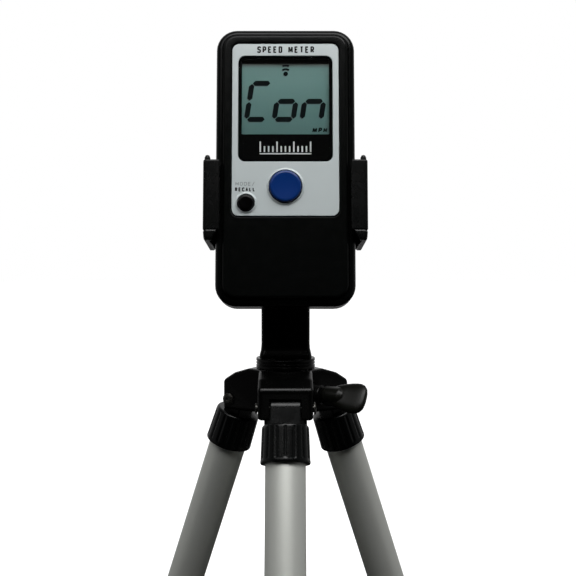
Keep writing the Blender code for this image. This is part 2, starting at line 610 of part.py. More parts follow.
def make_pinion(looks, tilt):
    """Pinion that ties the two racks together, and the torsion spring that closes the jaws."""
    place = (0.0, 0.0, PINION_HEIGHT)
    pinion = add("pinion", prism(pinion_outline(), ARM_FRONT, ARM_BACK, "Y"), looks["white"], tilt, place)
    cut(pinion, cylinder(1.8 * MM, -20 * MM, 0.0, "Y", sides=SMALL))

    turns, per_turn = 3, 14
    coil_radius, wire = 3.3 * MM, 0.45 * MM
    first, last = -7.7 * MM, -4.6 * MM
    line = bpy.data.curves.new("grip_spring", "CURVE")
    line.dimensions = "3D"
    line.bevel_depth = wire
    line.bevel_resolution = 1
    line.use_fill_caps = True
    spline = line.splines.new("POLY")
    count = turns * per_turn + 1
    spline.points.add(count - 1)
    for i, point in enumerate(spline.points):
        angle = 2 * math.pi * i / per_turn
        depth = first + (last - first) * i / (count - 1)
        point.co = (coil_radius * math.cos(angle), depth, coil_radius * math.sin(angle), 1.0)
    line.materials.append(looks["steel"])
    spring = bpy.data.objects.new("grip_spring", line)
    spring.parent = tilt
    spring.location = place
    bpy.context.scene.collection.objects.link(spring)


# ---------------------------------------------------------------- radar

def case_outline(inset):
    half = RADAR_WIDTH / 2 - inset
    corner = max(RADAR_CORNER - inset, 2 * MM)
    return rounded_box(-half, half, inset, RADAR_LENGTH - inset, corner)


def case_half(outside_in, split, wall, direction):
    """Rings of one case half, from its flat face to the split, drawn in by wall all over."""
    rings = []
    for depth, inset in CASE_EDGE:
        place = outside_in + direction * (depth * MM + wall)
        if direction * (split - place) > 0:
            rings.append([(x, place, z) for x, z in case_outline(inset * MM + wall)])
    rings.append([(x, split, z) for x, z in case_outline(wall)])
    return loft(rings)


def make_front_case(looks, radar):
    split = SPLIT - GAP / 2
    front = add("front_case", case_half(0.0, split, 0.0, 1), looks["case"], radar)
    inner = case_half(FRONT_WALL - CASE_WALL, split + 2 * MM, CASE_WALL, 1)
    cut(front, inner)
    half = PANEL_WIDTH / 2 + GAP
    recess = rounded_box(-half, half, PANEL_LOW - GAP, PANEL_HIGH + GAP, 3.3 * MM)
    cut(front, prism(recess, -1 * MM, 1.2 * MM, "Y"))
    half = WINDOW_WIDTH / 2 + 0.2 * MM
    window = rounded_box(-half, half, WINDOW_LOW - 0.2 * MM, WINDOW_HIGH + 0.2 * MM, 3.1 * MM, 3)
    cut(front, prism(window, 0.5 * MM, 5 * MM, "Y"))
    for (x, z), radius in ((MEASURE_BUTTON, MEASURE_RADIUS), (MODE_BUTTON, MODE_RADIUS)):
        cut(front, cylinder(radius + 0.7 * MM, 0.5 * MM, 5 * MM, "Y", (x, z)))
    for x in (-SCREW_X, SCREW_X):
        join(front, cylinder(2.6 * MM, 2 * MM, split, "Y", (x, SCREW_Z), SMALL))
        cut(front, cylinder(1.3 * MM, 5 * MM, split + 1 * MM, "Y", (x, SCREW_Z), SMALL))


def make_rear_case(looks, radar):
    split = SPLIT + GAP / 2
    rear = add("rear_case", case_half(RADAR_DEPTH, split, 0.0, -1), looks["case"], radar)
    cut(rear, case_half(RADAR_DEPTH, split - 2 * MM, CASE_WALL, -1))
    slot = DOOR_HALF + GAP
    cut(rear, box((-slot, slot), (DOOR_FLOOR - GAP, 30 * MM), (-2 * MM, DOOR_TOP + GAP)))
    for number, x in enumerate((-SCREW_X, SCREW_X), 1):
        join(rear, cylinder(2.6 * MM, split, RADAR_DEPTH - 1.4 * MM, "Y", (x, SCREW_Z), SMALL))
        cut(rear, cylinder(1.3 * MM, split - 1 * MM, 30 * MM, "Y", (x, SCREW_Z), SMALL))
        cut(rear, cylinder(2.5 * MM, 20.3 * MM, 30 * MM, "Y", (x, SCREW_Z), SMALL))
        screw = [(0, 7), (1.0, 7), (1.0, 20.6), (2.2, 20.6), (2.2, 21.9), (0, 21.9)]
        shape = turned([(r * MM, y * MM) for r, y in screw], "Y", sides=SMALL)
        add(f"case_screw_{number}", shape, looks["steel"], radar, (x, 0.0, SCREW_Z))

    door = add("battery_door", case_half(RADAR_DEPTH, split, 0.0, -1), looks["case"], radar)
    keep = box((-DOOR_HALF, DOOR_HALF), (DOOR_FLOOR, 30 * MM), (-2 * MM, DOOR_TOP))
    combine(door, "INTERSECT", keep)
    for row in range(4):
        low = (47 + 2.2 * row) * MM
        cut(door, box((-6 * MM, 6 * MM), (22.5 * MM, 30 * MM), (low, low + 1.0 * MM)))


def make_front_pieces(looks, radar):
    """Silver panel, window, display and keys."""
    half = PANEL_WIDTH / 2
    sheet = rounded_box(-half, half, PANEL_LOW, PANEL_HIGH, 3 * MM)
    panel = add("face_panel", prism(sheet, 0.3 * MM, 0.9 * MM, "Y"), looks["panel"], radar)
    half = WINDOW_WIDTH / 2
    opening = rounded_box(-half, half, WINDOW_LOW, WINDOW_HIGH, 3 * MM, 3)
    cut(panel, prism(opening, 0.0, 2 * MM, "Y"))
    for (x, z), radius in ((MEASURE_BUTTON, MEASURE_RADIUS), (MODE_BUTTON, MODE_RADIUS)):
        cut(panel, cylinder(radius + 0.8 * MM, 0.0, 2 * MM, "Y", (x, z)))

    half -= GAP
    glass = rounded_box(-half, half, WINDOW_LOW + GAP, WINDOW_HIGH - GAP, 2.7 * MM, 3)
    add("display_lens", prism(glass, 0.45 * MM, 1.2 * MM, "Y"), looks["lens"], radar)
    mask = add("window_mask", prism(glass, 1.5 * MM, 3.1 * MM, "Y"), looks["mask"], radar)
    cut(mask, box((-VIEW_HALF, VIEW_HALF), (0.0, 5 * MM), (VIEW_LOW, VIEW_HIGH)))
    width = (-19.8 * MM, 19.8 * MM)
    add("lcd_panel", box(width, (3.4 * MM, 5.4 * MM), (69 * MM, 107.2 * MM)), looks["lcd"], radar)
    add("lcd_holder", box(width, (5.7 * MM, 7.6 * MM), (67 * MM, 107.2 * MM)), looks["white"], radar)

    add_key("measure_button", MEASURE_BUTTON, MEASURE_RADIUS, looks["blue"], radar)
    add_key("mode_button", MODE_BUTTON, MODE_RADIUS, looks["black_key"], radar)


def add_key(name, centre, radius, look, radar):
    """Round key cap with a retaining flange behind the front wall."""
    flange = radius + 1.6 * MM
    profile = [(0, -2.2 * MM), (radius - 0.9 * MM, -2.0 * MM), (radius, -1.1 * MM), (radius, 3.0 * MM)]
    profile += [(flange, 3.0 * MM), (flange, 4.0 * MM), (0, 4.0 * MM)]
    add(name, turned(profile, "Y"), look, radar, (centre[0], 0.0, centre[1]))


def make_electronics(looks, radar):
    """Keypad, boards, shield can, cells and their contacts."""
    sheet = box((-21.5 * MM, 9 * MM), (6.2 * MM, 7.2 * MM), (38 * MM, 59 * MM))
    keypad = add("keypad", sheet, looks["rubber"], radar)
    join(keypad, cylinder(5 * MM, 5.3 * MM, 6.7 * MM, "Y", MEASURE_BUTTON, 16))
    join(keypad, cylinder(2.6 * MM, 5.3 * MM, 6.7 * MM, "Y", MODE_BUTTON, SMALL))
    plate = box((-20.5 * MM, 20.5 * MM), (8.2 * MM, 9.8 * MM), (4 * MM, 106 * MM))
    board = add("main_board", plate, looks["board"], radar)
    for x, z in (MEASURE_BUTTON, MODE_BUTTON):
        join(board, cylinder(2.4 * MM, 7.5 * MM, 9 * MM, "Y", (x, z), SMALL))
    join(board, box((-7 * MM, 7 * MM), (9 * MM, 10.4 * MM), (84 * MM, 98 * MM)))

    plate = box((-21 * MM, 21 * MM), (18.6 * MM, 20.1 * MM), (63 * MM, 108 * MM))
    antenna = add("antenna_board", plate, looks["board"], radar)
    for x in (-10 * MM, 10 * MM):
        for z in (76 * MM, 96 * MM):
            half = 6 * MM
            join(antenna, box((x - half, x + half), (19 * MM, 20.5 * MM), (z - half, z + half)))
    block = box((-18 * MM, 18 * MM), (11 * MM, 18.2 * MM), (66 * MM, 105 * MM))
    can = add("shield_can", block, looks["steel"], radar)
    cut(can, box((-17.5 * MM, 17.5 * MM), (10 * MM, 17.7 * MM), (66.5 * MM, 104.5 * MM)))

    for name, up in (("left", 1), ("right", -1)):
        cell = [(0, -22.3), (5.1, -22.3), (5.1, 21.3), (1.8, 21.3), (1.8, 22.3), (0, 22.3)]
        shape = turned([(r * MM, up * z * MM) for r, z in cell], sides=16)
        add(f"battery_{name}", shape, looks["cell"], radar, (-up * BATTERY_X, BATTERY_DEPTH, 30.5 * MM))
    for name, low, tip in (("lower", 3.4 * MM, 7.8 * MM), ("upper", 57.6 * MM, 53.2 * MM)):
        plate = box((-10.5 * MM, 10.5 * MM), (11 * MM, 19.5 * MM), (low, low + 0.6 * MM))
        contact = add(f"battery_contact_{name}", plate, looks["steel"], radar)
        base = low + 0.3 * MM
        spring = [(0, base), (3.4 * MM, base), (1.9 * MM, tip), (0, tip)]
        for x in (-BATTERY_X, BATTERY_X):
            join(contact, turned(spring, centre=(x, BATTERY_DEPTH), sides=SMALL))


# ---------------------------------------------------------------- assembly

def clear_scene():
    for old in list(bpy.data.objects):
        bpy.data.objects.remove(old)


def main():
    clear_scene()
    looks = make_materials()
    hub = frame("hub_frame", (0.0, AXIS_Y, PIVOT_HEIGHT))
    make_spider(looks["moulding"], hub)
    make_column(looks, hub)
    make_column_knob(looks["moulding"], hub)
    for name, angle in LEGS.items():
        make_leg(name, angle, looks, hub)
    make_neck(looks, hub)
    tilt = frame("tilt_frame", (0.0, 0.0, TILT_HEIGHT), (-TILT_BACK, 0.0, 0.0), hub)
    make_tilt_head(looks, tilt)
    make_housing(looks, tilt)
    for name, side in (("right", 1), ("left", -1)):
        make_jaw(name, side, looks, tilt)
    make_pinion(looks, tilt)
    radar = frame("radar_frame", (0.0, RADAR_FRONT, RADAR_FOOT), parent=tilt)
    make_front_case(looks, radar)
    make_rear_case(looks, radar)
    make_front_pieces(looks, radar)
    make_electronics(looks, radar)


main()
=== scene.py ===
"""Visual model of the pocket speed radar in its cradle on a mini tripod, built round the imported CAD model.

Shapes are drawn in millimetres, in the same nested frames as the CAD: the hub, each leg, the tilt head and
the radar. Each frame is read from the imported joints, so every piece lands where its CAD node is.
"""

import json
import math

import bmesh
import bpy
from mathutils import Matrix, Vector

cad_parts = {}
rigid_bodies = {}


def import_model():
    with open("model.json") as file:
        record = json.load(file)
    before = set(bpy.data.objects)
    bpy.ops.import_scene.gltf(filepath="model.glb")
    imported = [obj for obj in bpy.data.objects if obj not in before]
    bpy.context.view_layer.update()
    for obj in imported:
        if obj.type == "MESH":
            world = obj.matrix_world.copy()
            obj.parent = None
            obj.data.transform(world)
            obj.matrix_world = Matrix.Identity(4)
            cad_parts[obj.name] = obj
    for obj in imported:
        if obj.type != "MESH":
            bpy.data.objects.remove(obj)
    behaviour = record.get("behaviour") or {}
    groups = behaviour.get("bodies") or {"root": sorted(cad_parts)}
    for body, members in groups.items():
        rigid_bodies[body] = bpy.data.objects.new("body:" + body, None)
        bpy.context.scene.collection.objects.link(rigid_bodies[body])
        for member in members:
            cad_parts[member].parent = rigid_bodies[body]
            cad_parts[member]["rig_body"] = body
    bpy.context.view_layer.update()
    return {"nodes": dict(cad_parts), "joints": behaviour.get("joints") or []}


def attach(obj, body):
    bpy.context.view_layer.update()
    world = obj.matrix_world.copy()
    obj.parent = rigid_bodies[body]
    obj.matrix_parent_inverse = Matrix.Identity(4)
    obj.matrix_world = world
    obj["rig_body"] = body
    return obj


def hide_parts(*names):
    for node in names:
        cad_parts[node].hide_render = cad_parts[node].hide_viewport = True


MM = 0.001
GAP = 0.3  # between parts that touch
BOX_STEPS = 8  # segments of a rounded-rectangle corner

# Dimensions of the CAD model, in millimetres
PIVOT_RADIUS = 23.5
PIN_RADIUS = 1.7
KNUCKLE_RADIUS = 4.3
TONGUE_HALF = 6.7
SOCKET_TOP, SOCKET_BOTTOM, SOCKET_RADIUS = -7.6, -24.5, 10.9
UPPER_TUBE = (8.8, -168.0, -10.6)  # radius, lower end, upper end
LOWER_TUBE = (6.8, -186.0, -30.0)
LOCK_TOP, LOCK_END = -152.0, -176.0
FOOT_TOP, FOOT_RADIUS = -176.4, 8.6
ARM_HALF, ARM_REACH = 12.2, 27.0
ARM_BOTTOM, ROOF_UNDERSIDE, HUB_TOP = -5.0, 4.6, 14.9
BARREL_RADIUS, BARREL_END = 10.0, -14.0
COLUMN_RADIUS, COLUMN_END = 6.1, -118.0
KNOB_HEIGHT = 3.5
PADDLE_LEAN = math.radians(32)
RING_RADIUS, RING_BOTTOM, RING_TOP = 13.6, 15.2, 19.8
NECK_HALF_WIDTH, NECK_HALF_DEPTH = 11.0, 8.5
EAR_SLOT_HALF = 5.2
TILT_HEIGHT = 48.5
TILT_SCREW_RADIUS = 2.3
TONGUE_RADIUS = 7.4
PLATE_BOTTOM, PLATE_TOP = 9.0, 13.0
STUD_DEPTH, STUD_RADIUS = -3.9, 3.1
LOCK_RING_RADIUS = 10.2
BLOCK_BOTTOM, BLOCK_TOP = 17.6, 26.0
HOUSING_HALF, HOUSING_TOP = 25.5, 53.5
HOUSING_FRONT, HOUSING_BACK = -15.5, -3.3
PINION_HEIGHT = 40.0
GEAR_MODULE, PINION_TEETH, TOOTH_THICKNESS = 0.8, 10, 1.05
RACK_ADDENDUM, RACK_DEDENDUM = 0.5, 1.0
ARM_FRONT, ARM_BACK = -12.6, -8.6
JAW_INSIDE, JAW_OUTSIDE = 32.0, 35.0
JAW_BOTTOM, JAW_TAPER, JAW_TOP = 19.6, 24.0, 54.3
LIP_EDGE, LIP_FRONT, LIP_BACK = 27.9, -41.3, -39.4
PAD_THICKNESS = 1.3
WIDTH, LENGTH, DEPTH, CORNER = 60.0, 121.0, 23.0, 9.0
SPLIT, WALL = 11.5, 1.8
PANEL_HALF, PANEL_LOW, PANEL_HIGH = 22.9, 38.3, 113.6
WINDOW_HALF, WINDOW_LOW, WINDOW_HIGH = 20.3, 61.8, 108.3
VIEW_HALF, VIEW_LOW, VIEW_HIGH = 18.85, 74.0, 106.8
MEASURE_KEY, MEASURE_RADIUS = (0.0, 50.9), 6.9
MODE_KEY, MODE_RADIUS = (-16.8, 43.9), 3.5
KEYS = ((MEASURE_KEY, MEASURE_RADIUS), (MODE_KEY, MODE_RADIUS))
BACK_CURVE = 17.6  # depth where the rounding of the back starts
LABEL = (20, 65, 112, 3)  # half width, bottom, top and corner of the recess in the back
DOOR_HALF, DOOR_TOP, DOOR_FLOOR = 12.9, 57.2, 21.4
SCREW_X, SCREW_Z = 23.5, 8.0

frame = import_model()


# ---- frames

def joint(name):
    return next(j for j in frame["joints"] if j["name"] == name)


def axes(origin, x, z):
    """Frame at a point in metres, from its X and Z directions."""
    x, z = Vector(x).normalized(), Vector(z).normalized()
    made = Matrix((x, z.cross(x), z)).transposed().to_4x4()
    made.translation = origin
    return made


def inside(node, where):
    """Lowest and highest corner of a CAD node in a frame, in millimetres."""
    back = where.inverted()
    points = [back @ v.co / MM for v in frame["nodes"][node].data.vertices]
    low = [min(p[i] for p in points) for i in range(3)]
    high = [max(p[i] for p in points) for i in range(3)]
    return low, high


pan, tilt = joint("pan")["pos_m"], joint("tilt")["pos_m"]
HUB = Matrix.Translation((pan[0], pan[1], joint("front_leg_fold")["pos_m"][2]))
clamp_axis = joint("column_clamp_turn")["axis"]
KNOB_ANGLE = math.atan2(clamp_axis[0], -clamp_axis[1])
knob_origin = HUB.translation + Vector((0, 0, KNOB_HEIGHT * MM))
KNOB = axes(knob_origin, Vector((0, 0, 1)).cross(clamp_axis), (0, 0, 1))
TILT = axes(tilt, (1, 0, 0), joint("radar_lift")["axis"])
case_low = inside("front_case", TILT)[0]
RADAR = TILT @ Matrix.Translation((0, case_low[1] * MM, case_low[2] * MM))
LEGS = {}
for side in ("front", "right", "left"):
    down = Vector(joint(f"{side}_leg_extend")["axis"])
    LEGS[side] = axes(joint(f"{side}_leg_fold")["pos_m"], joint(f"{side}_leg_fold")["axis"], -down)
LEG_ANGLE = {"front": 0.0, "right": math.radians(120), "left": math.radians(240)}


# ---- outlines

def circle(radius, sides=48, centre=(0.0, 0.0), start=0.0):
    step = 2 * math.pi / sides
    return [
        (centre[0] + radius * math.cos(start + i * step), centre[1] + radius * math.sin(start + i * step))
        for i in range(sides)
    ]


def arc(centre, radius, first, last, steps):
    angles = [math.radians(first + (last - first) * i / steps) for i in range(steps + 1)]
    return [(centre[0] + radius * math.cos(a), centre[1] + radius * math.sin(a)) for a in angles]


def rounded_box(left, right, low, high, radius, steps=BOX_STEPS):
    corners = [
        ((right - radius, low + radius), -90),
        ((right - radius, high - radius), 0),
        ((left + radius, high - radius), 90),
        ((left + radius, low + radius), 180),
    ]
    return [point for centre, turn in corners for point in arc(centre, radius, turn, turn + 90, steps)]


def softened(points, radius=0.5, steps=4, closed=True):
    """Line with rounded corners. A point may carry its own radius. An open line keeps its two ends."""
    result = []
    for i, point in enumerate(points):
        here = Vector(point[:2])
        if not closed and i in (0, len(points) - 1):
            result.append(tuple(here))
            continue
        reach = point[2] if len(point) > 2 else radius
        before = Vector(points[i - 1][:2]) - here
        after = Vector(points[(i + 1) % len(points)][:2]) - here
        half = before.angle(after) / 2
        if reach == 0 or half > math.radians(88):
            result.append(tuple(here))
            continue
        trim = min(reach / math.tan(half), 0.46 * before.length, 0.46 * after.length)
        start, end = here + before.normalized() * trim, here + after.normalized() * trim
        for step in range(steps + 1):
            t = step / steps
            result.append(tuple(start * (1 - t) ** 2 + here * 2 * t * (1 - t) + end * t * t))
    return result


def drawn_in(outline, amount):
    """A counter-clockwise outline moved inwards by the same distance all round."""
    result = []
    for i, (x, y) in enumerate(outline):
        before = Vector((x - outline[i - 1][0], y - outline[i - 1][1])).normalized()
        following = outline[(i + 1) % len(outline)]
        after = Vector((following[0] - x, following[1] - y)).normalized()
        inward = Vector((-before.y - after.y, before.x + after.x))
        inward *= 2 / max(inward.length_squared, 1.0)
        result.append((x + inward.x * amount, y + inward.y * amount))
    return result


def on_axis(u, v, w, axis):
    return {"X": (w, u, v), "Y": (u, w, v), "Z": (u, v, w)}[axis]


# ---- solids

def closed_mesh(bm):
    bmesh.ops.remove_doubles(bm, verts=bm.verts, dist=1e-4)
    bmesh.ops.recalc_face_normals(bm, faces=bm.faces)
    return bm


def skin(bm, rings, loop=False):
    """Adds a skin through rings of points to a mesh: capped at both ends, or closed into a loop."""
    rows = [[bm.verts.new(point) for point in ring] for ring in rings]
    pairs = list(zip(rows, rows[1:]))
    if loop:
        pairs.append((rows[-1], rows[0]))
    count = len(rows[0])
    for lower, upper in pairs:
        for i in range(count):
            j = (i + 1) % count
            bm.faces.new((lower[i], lower[j], upper[j], upper[i]))
    if not loop:
        bm.faces.new(reversed(rows[0]))
        bm.faces.new(rows[-1])


def loft(rings, loop=False):
    bm = bmesh.new()
    skin(bm, rings, loop)
    return closed_mesh(bm)


def slab(outline, low, high, axis="Z", edge=0.4, steps=3):
    """Plate of any outline, with both its rims rounded."""
    levels = []
    for i in range(steps + 1):
        angle = math.pi / 2 * i / steps
        levels.append((edge * (1 - math.cos(angle)), edge * (1 - math.sin(angle))))
    rings = []
    for rise, amount in levels:
        rings.append([on_axis(u, v, low + rise, axis) for u, v in drawn_in(outline, amount)])
    for rise, amount in reversed(levels):
        rings.append([on_axis(u, v, high - rise, axis) for u, v in drawn_in(outline, amount)])
    return loft(rings)


def turned(profile, axis="Z", centre=(0.0, 0.0), sides=64):
    """Solid of revolution. Its (radius, height) points end on the axis, or form a loop clear of it."""
    bm = bmesh.new()
    rows = []
    for radius, height in profile:
        outline = [centre] if radius <= 0 else circle(radius, sides, centre)
        rows.append([bm.verts.new(on_axis(u, v, height, axis)) for u, v in outline])
    pairs = list(zip(rows, rows[1:]))
    if profile[0][0] > 0:
        pairs.append((rows[-1], rows[0]))
    for lower, upper in pairs:
        for i in range(sides):
            j = (i + 1) % sides
            corners = [lower[i % len(lower)], lower[j % len(lower)]]
            corners += [upper[j % len(upper)], upper[i % len(upper)]]
            face = list(dict.fromkeys(corners))
            if len(face) > 2:
                bm.faces.new(face)
    return closed_mesh(bm)


def lathe(points, radius=0.4, axis="Z", centre=(0.0, 0.0), sides=64, steps=3):
    """Solid of revolution with rounded corners."""
    closed = points[0][0] > 0
    return turned(softened(points, radius, steps, closed), axis, centre, sides)


def rod(radius, low, high, axis="Z", centre=(0.0, 0.0), sides=48):
    return turned([(0, low), (radius, low), (radius, high), (0, high)], axis, centre, sides)


def block(x, y, z):
    corners = ((x[0], y[0]), (x[1], y[0]), (x[1], y[1]), (x[0], y[1]))
    return loft([[(u, v, w) for u, v in corners] for w in z])


def spun(bm, angle, axis="Z", centre=(0, 0, 0)):
    bmesh.ops.rotate(bm, verts=bm.verts, matrix=Matrix.Rotation(angle, 3, axis), cent=centre)
    return bm


def in_scene(name, data):
    made = bpy.data.objects.new(name, data)
    bpy.context.scene.collection.objects.link(made)
    return made


def holder(bm, name="working"):
    mesh = bpy.data.meshes.new(name)
    bm.to_mesh(mesh)
    bm.free()
    return in_scene(name, mesh)


def evaluated(made, *others):
    """The mesh of a working object after its modifiers. The working objects are removed."""
    bpy.context.view_layer.update()
    bm = bmesh.new()
    bm.from_object(made, bpy.context.evaluated_depsgraph_get())
    for old in (made, *others):
        mesh = old.data
        bpy.data.objects.remove(old)
        bpy.data.meshes.remove(mesh)
    return bm


def combined(base, operation, *tools):
    made = holder(base)
    others = [holder(bm, "tool") for bm in tools]
    for other in others:
        modifier = made.modifiers.new("boolean", "BOOLEAN")
        modifier.operation = operation
        modifier.solver = "EXACT"
        modifier.object = other
    return evaluated(made, *others)


def joined(base, *tools):
    return combined(base, "UNION", *tools)


def cut(base, *tools):
    return combined(base, "DIFFERENCE", *tools)


def eased(bm, width=0.3, angle=50, segments=2):
    """Rounds only the sharp edges."""
    made = holder(bm)
    modifier = made.modifiers.new("ease", "BEVEL")
    modifier.width = width
    modifier.segments = segments
    modifier.limit_method = "ANGLE"
    modifier.angle_limit = math.radians(angle)
    return evaluated(made)


# ---- shader nodes

def fill(tree, node, *values, **inputs):
    """Sets a node's inputs, in order or by name, to constants or to the outputs of other nodes."""
    sockets = list(zip(node.inputs, values))
    sockets += [(node.inputs[key.replace("_", " ")], value) for key, value in inputs.items()]
    for socket, value in sockets:
        if isinstance(value, bpy.types.NodeSocket):
            tree.links.new(value, socket)
        else:
            socket.default_value = value
    return node


def add(tree, kind, **inputs):
    return fill(tree, tree.nodes.new(f"ShaderNode{kind}"), **inputs)


def ranged(tree, source, low, high, bottom, top, smooth=False):
    """Maps a value between two bounds on to another pair."""
    node = add(tree, "MapRange", Value=source, From_Min=low, From_Max=high, To_Min=bottom, To_Max=top)
    node.interpolation_type = "SMOOTHSTEP" if smooth else "LINEAR"
    return node.outputs["Result"]


def blend(tree, share, first, second):
    node = tree.nodes.new("ShaderNodeMix")
    node.data_type = "RGBA"
    return fill(tree, node, Factor=share, A=first, B=second).outputs["Result"]


def maths(tree, operation, *values):
    node = tree.nodes.new("ShaderNodeMath")
    node.operation = operation
    return fill(tree, node, *values).outputs[0]


def new_material(name):
    made = bpy.data.materials.new(name)
    made.use_nodes = True
    return made, made.node_tree, made.node_tree.nodes["Principled BSDF"]


# ---- materials

def surface(
    name, colour, roughness, metallic=0.0, tint=0.10, spread=0.06, grain=0.0, grain_size=0.2,
    stretch=(1.0, 1.0, 1.0), wear=0.0, patch_size=14.0, **sockets,
):
    """Procedural finish: fine grain, patches of colour and gloss, and worn edges. Sizes in mm."""
    made, tree, shader = new_material(name)
    here = add(tree, "TexCoord").outputs["Object"]

    def noise(size, detail):
        mapping = add(tree, "Mapping", Vector=here, Scale=stretch)
        moved = mapping.outputs["Vector"]
        return add(tree, "TexNoise", Vector=moved, Scale=1 / (size * MM), Detail=detail).outputs["Fac"]

    def shade(factor, lift=0.0):
        return (*[min(1.0, lift + c * factor) for c in colour], 1.0)

    result = blend(tree, noise(patch_size, 5.0), shade(1 - tint), shade(1 + tint))
    gloss = noise(patch_size * 0.35, 4.0)
    gloss = ranged(tree, gloss, 0.25, 0.75, max(0.02, roughness - spread), roughness + spread)
    if wear > 0:
        pointiness = add(tree, "NewGeometry").outputs["Pointiness"]
        result = blend(tree, ranged(tree, pointiness, 0.54, 0.68, 0.0, wear), result, shade(1.6, 0.06))
    fill(tree, shader, Metallic=metallic, Base_Color=result, Roughness=gloss, **sockets)
    if grain > 0:
        height = noise(grain_size, 2.0)
        bump = add(tree, "Bump", Height=height, Strength=grain, Distance=grain_size * 0.2 * MM)
        fill(tree, shader, Normal=bump.outputs["Normal"])
    return made


def plastic(name, colour, roughness, specular, grain, grain_size, spread=0.04, wear=0.0, **more):
    return surface(name, colour, roughness, spread=spread, grain=grain, grain_size=grain_size, wear=wear,
                   Specular_IOR_Level=specular, **more)


def painted_shade_fade(look, first, last, colour):
    """Paints shade into a finish: fades it into another colour up the object's own Z, between two heights in
    mm.
    """
    tree = look.node_tree
    shader = tree.nodes["Principled BSDF"]
    source = shader.inputs["Base Color"].links[0].from_socket
    split = add(tree, "SeparateXYZ", Vector=add(tree, "TexCoord").outputs["Object"])
    share = ranged(tree, split.outputs["Z"], first * MM, last * MM, 0.0, 1.0)
    fill(tree, shader, Base_Color=blend(tree, share, source, (*colour, 1.0)))


BRUSHED = (1.0, 1.0, 0.04)
LOOKS = {
    "case": plastic("satin_case_plastic", (0.0014, 0.0017, 0.0016), 0.24, 0.12, 0.12, 0.25, wear=0.04),
    "rear": plastic("matt_rear_plastic", (0.0080, 0.0086, 0.0083), 0.32, 0.45, 0.2, 0.3, wear=0.06),
    "cradle": plastic(
        "matt_cradle_plastic", (0.0011, 0.0014, 0.0013), 0.27, 0.25, 0.12, 0.35, spread=0.03, wear=0.04),
    "moulding": plastic("glossy_tripod_plastic", (0.0009, 0.0010, 0.0009), 0.25, 0.16, 0.12, 0.8, wear=0.04),
    "block": plastic("satin_hinge_plastic", (0.0012, 0.0015, 0.0015), 0.26, 0.22, 0.12, 0.8, wear=0.04),
    "knob": plastic("satin_knob_plastic", (0.0030, 0.0032, 0.0023), 0.34, 0.17, 0.2, 0.5),
    "blue": plastic("blue_key_plastic", (0.0016, 0.0225, 0.130), 0.25, 0.22, 0.15, 0.3, spread=0.06),
    "black_key": plastic("black_key_plastic", (0.0009, 0.0009, 0.0010), 0.20, 0.10, 0.1, 0.5, spread=0.06),
    "mask": plastic("printed_black_mask", (0.0006, 0.0007, 0.0007), 0.22, 0.06, 0.08, 0.5, spread=0.03),
    "segment": plastic(
        "lcd_segment", (0.0006, 0.0030, 0.0036), 0.40, 0.04, 0.1, 0.2, spread=0.06, tint=0.15),
    "print": plastic("black_print", (0.002, 0.0025, 0.0025), 0.45, 0.1, 0.2, 0.1, spread=0.06, tint=0.15),
    "rubber": surface("moulded_rubber", (0.0055, 0.0055, 0.0058), 0.72, grain=0.9, grain_size=0.3, wear=0.1),
    "tube": surface(
        "satin_anodised_tube", (0.73, 0.745, 0.70), 0.46, 0.68, 0.05, 0.05, 0.30, 0.30, stretch=BRUSHED),
    "dark_steel": surface(
        "blackened_steel", (0.045, 0.044, 0.040), 0.28, 0.8, 0.2, grain=0.2, grain_size=0.3),
    "steel": surface("plated_steel", (0.60, 0.585, 0.55), 0.26, 1.0, 0.08, grain=0.2, grain_size=0.3),
    "brass": surface("turned_brass", (0.70, 0.52, 0.22), 0.30, 1.0, grain=0.2, grain_size=0.3),
    "panel": surface("silver_painted_panel", (0.425, 0.470, 0.473), 0.46, 0.10, 0.02, 0.04, 0.25, 0.12),
    "lens": surface("clear_window", (0.02, 0.022, 0.022), 0.05, 0.0, 0.02, 0.02, 0.03, 2.0, Alpha=0.03),
    "lcd": surface(
        "reflective_lcd", (0.084, 0.192, 0.176), 0.34, 0.0, 0.07, 0.04, 0.15, 0.1, patch_size=26.0),
    "segment_shadow": surface("lcd_segment_shadow", (0.045, 0.085, 0.080), 0.45, grain=0.1),
    "grey_print": surface("grey_print", (0.19, 0.205, 0.205), 0.50, tint=0.08, grain=0.2, grain_size=0.1),
    "white_print": surface("white_print", (0.50, 0.53, 0.53), 0.40, tint=0.06, grain=0.2, grain_size=0.1),
    "white": surface("white_moulding", (0.62, 0.62, 0.60), 0.50, grain=0.3, grain_size=0.4),
    "board": surface(
        "solder_mask", (0.012, 0.10, 0.035), 0.35, tint=0.2, grain=0.3, grain_size=0.3, patch_size=4.0),
    "cell": surface("battery_sleeve", (0.035, 0.037, 0.042), 0.28, tint=0.2, grain=0.1),
}
# Painted shade: the display sheet darkens towards its bottom.
painted_shade_fade(LOOKS["lcd"], 98.0, 72.0, (0.046, 0.122, 0.113))
# Painted shadow: a dark brown band along the top of the display sheet, where the mask's upper edge shades it.
painted_shade_fade(LOOKS["lcd"], 103.7, 106.4, (0.040, 0.030, 0.026))


# ---- placing pieces

def place(name, bm, where, look, slot, *nodes, body=None):
    """Adds a piece drawn in millimetres in a frame. It rides with the CAD nodes that it stands for."""
    bmesh.ops.scale(bm, vec=(MM, MM, MM), verts=bm.verts)
    made = holder(bm, name)
    mesh = made.data
    mesh.materials.append(LOOKS[look])
    mesh.shade_smooth()
    mesh.set_sharp_from_angle(angle=math.radians(38))
    made.matrix_world = where
    even = made.modifiers.new("even_shading", "WEIGHTED_NORMAL")
    even.keep_sharp = True
    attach(made, body or frame["nodes"][nodes[0]]["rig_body"])
    if nodes:
        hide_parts(*nodes)
    return made


def keep(look, slot, *nodes):
    """Leaves CAD nodes in view, with a procedural finish."""
    for node in nodes:
        made = frame["nodes"][node]
        made.data.materials.clear()
        made.data.materials.append(LOOKS[look])


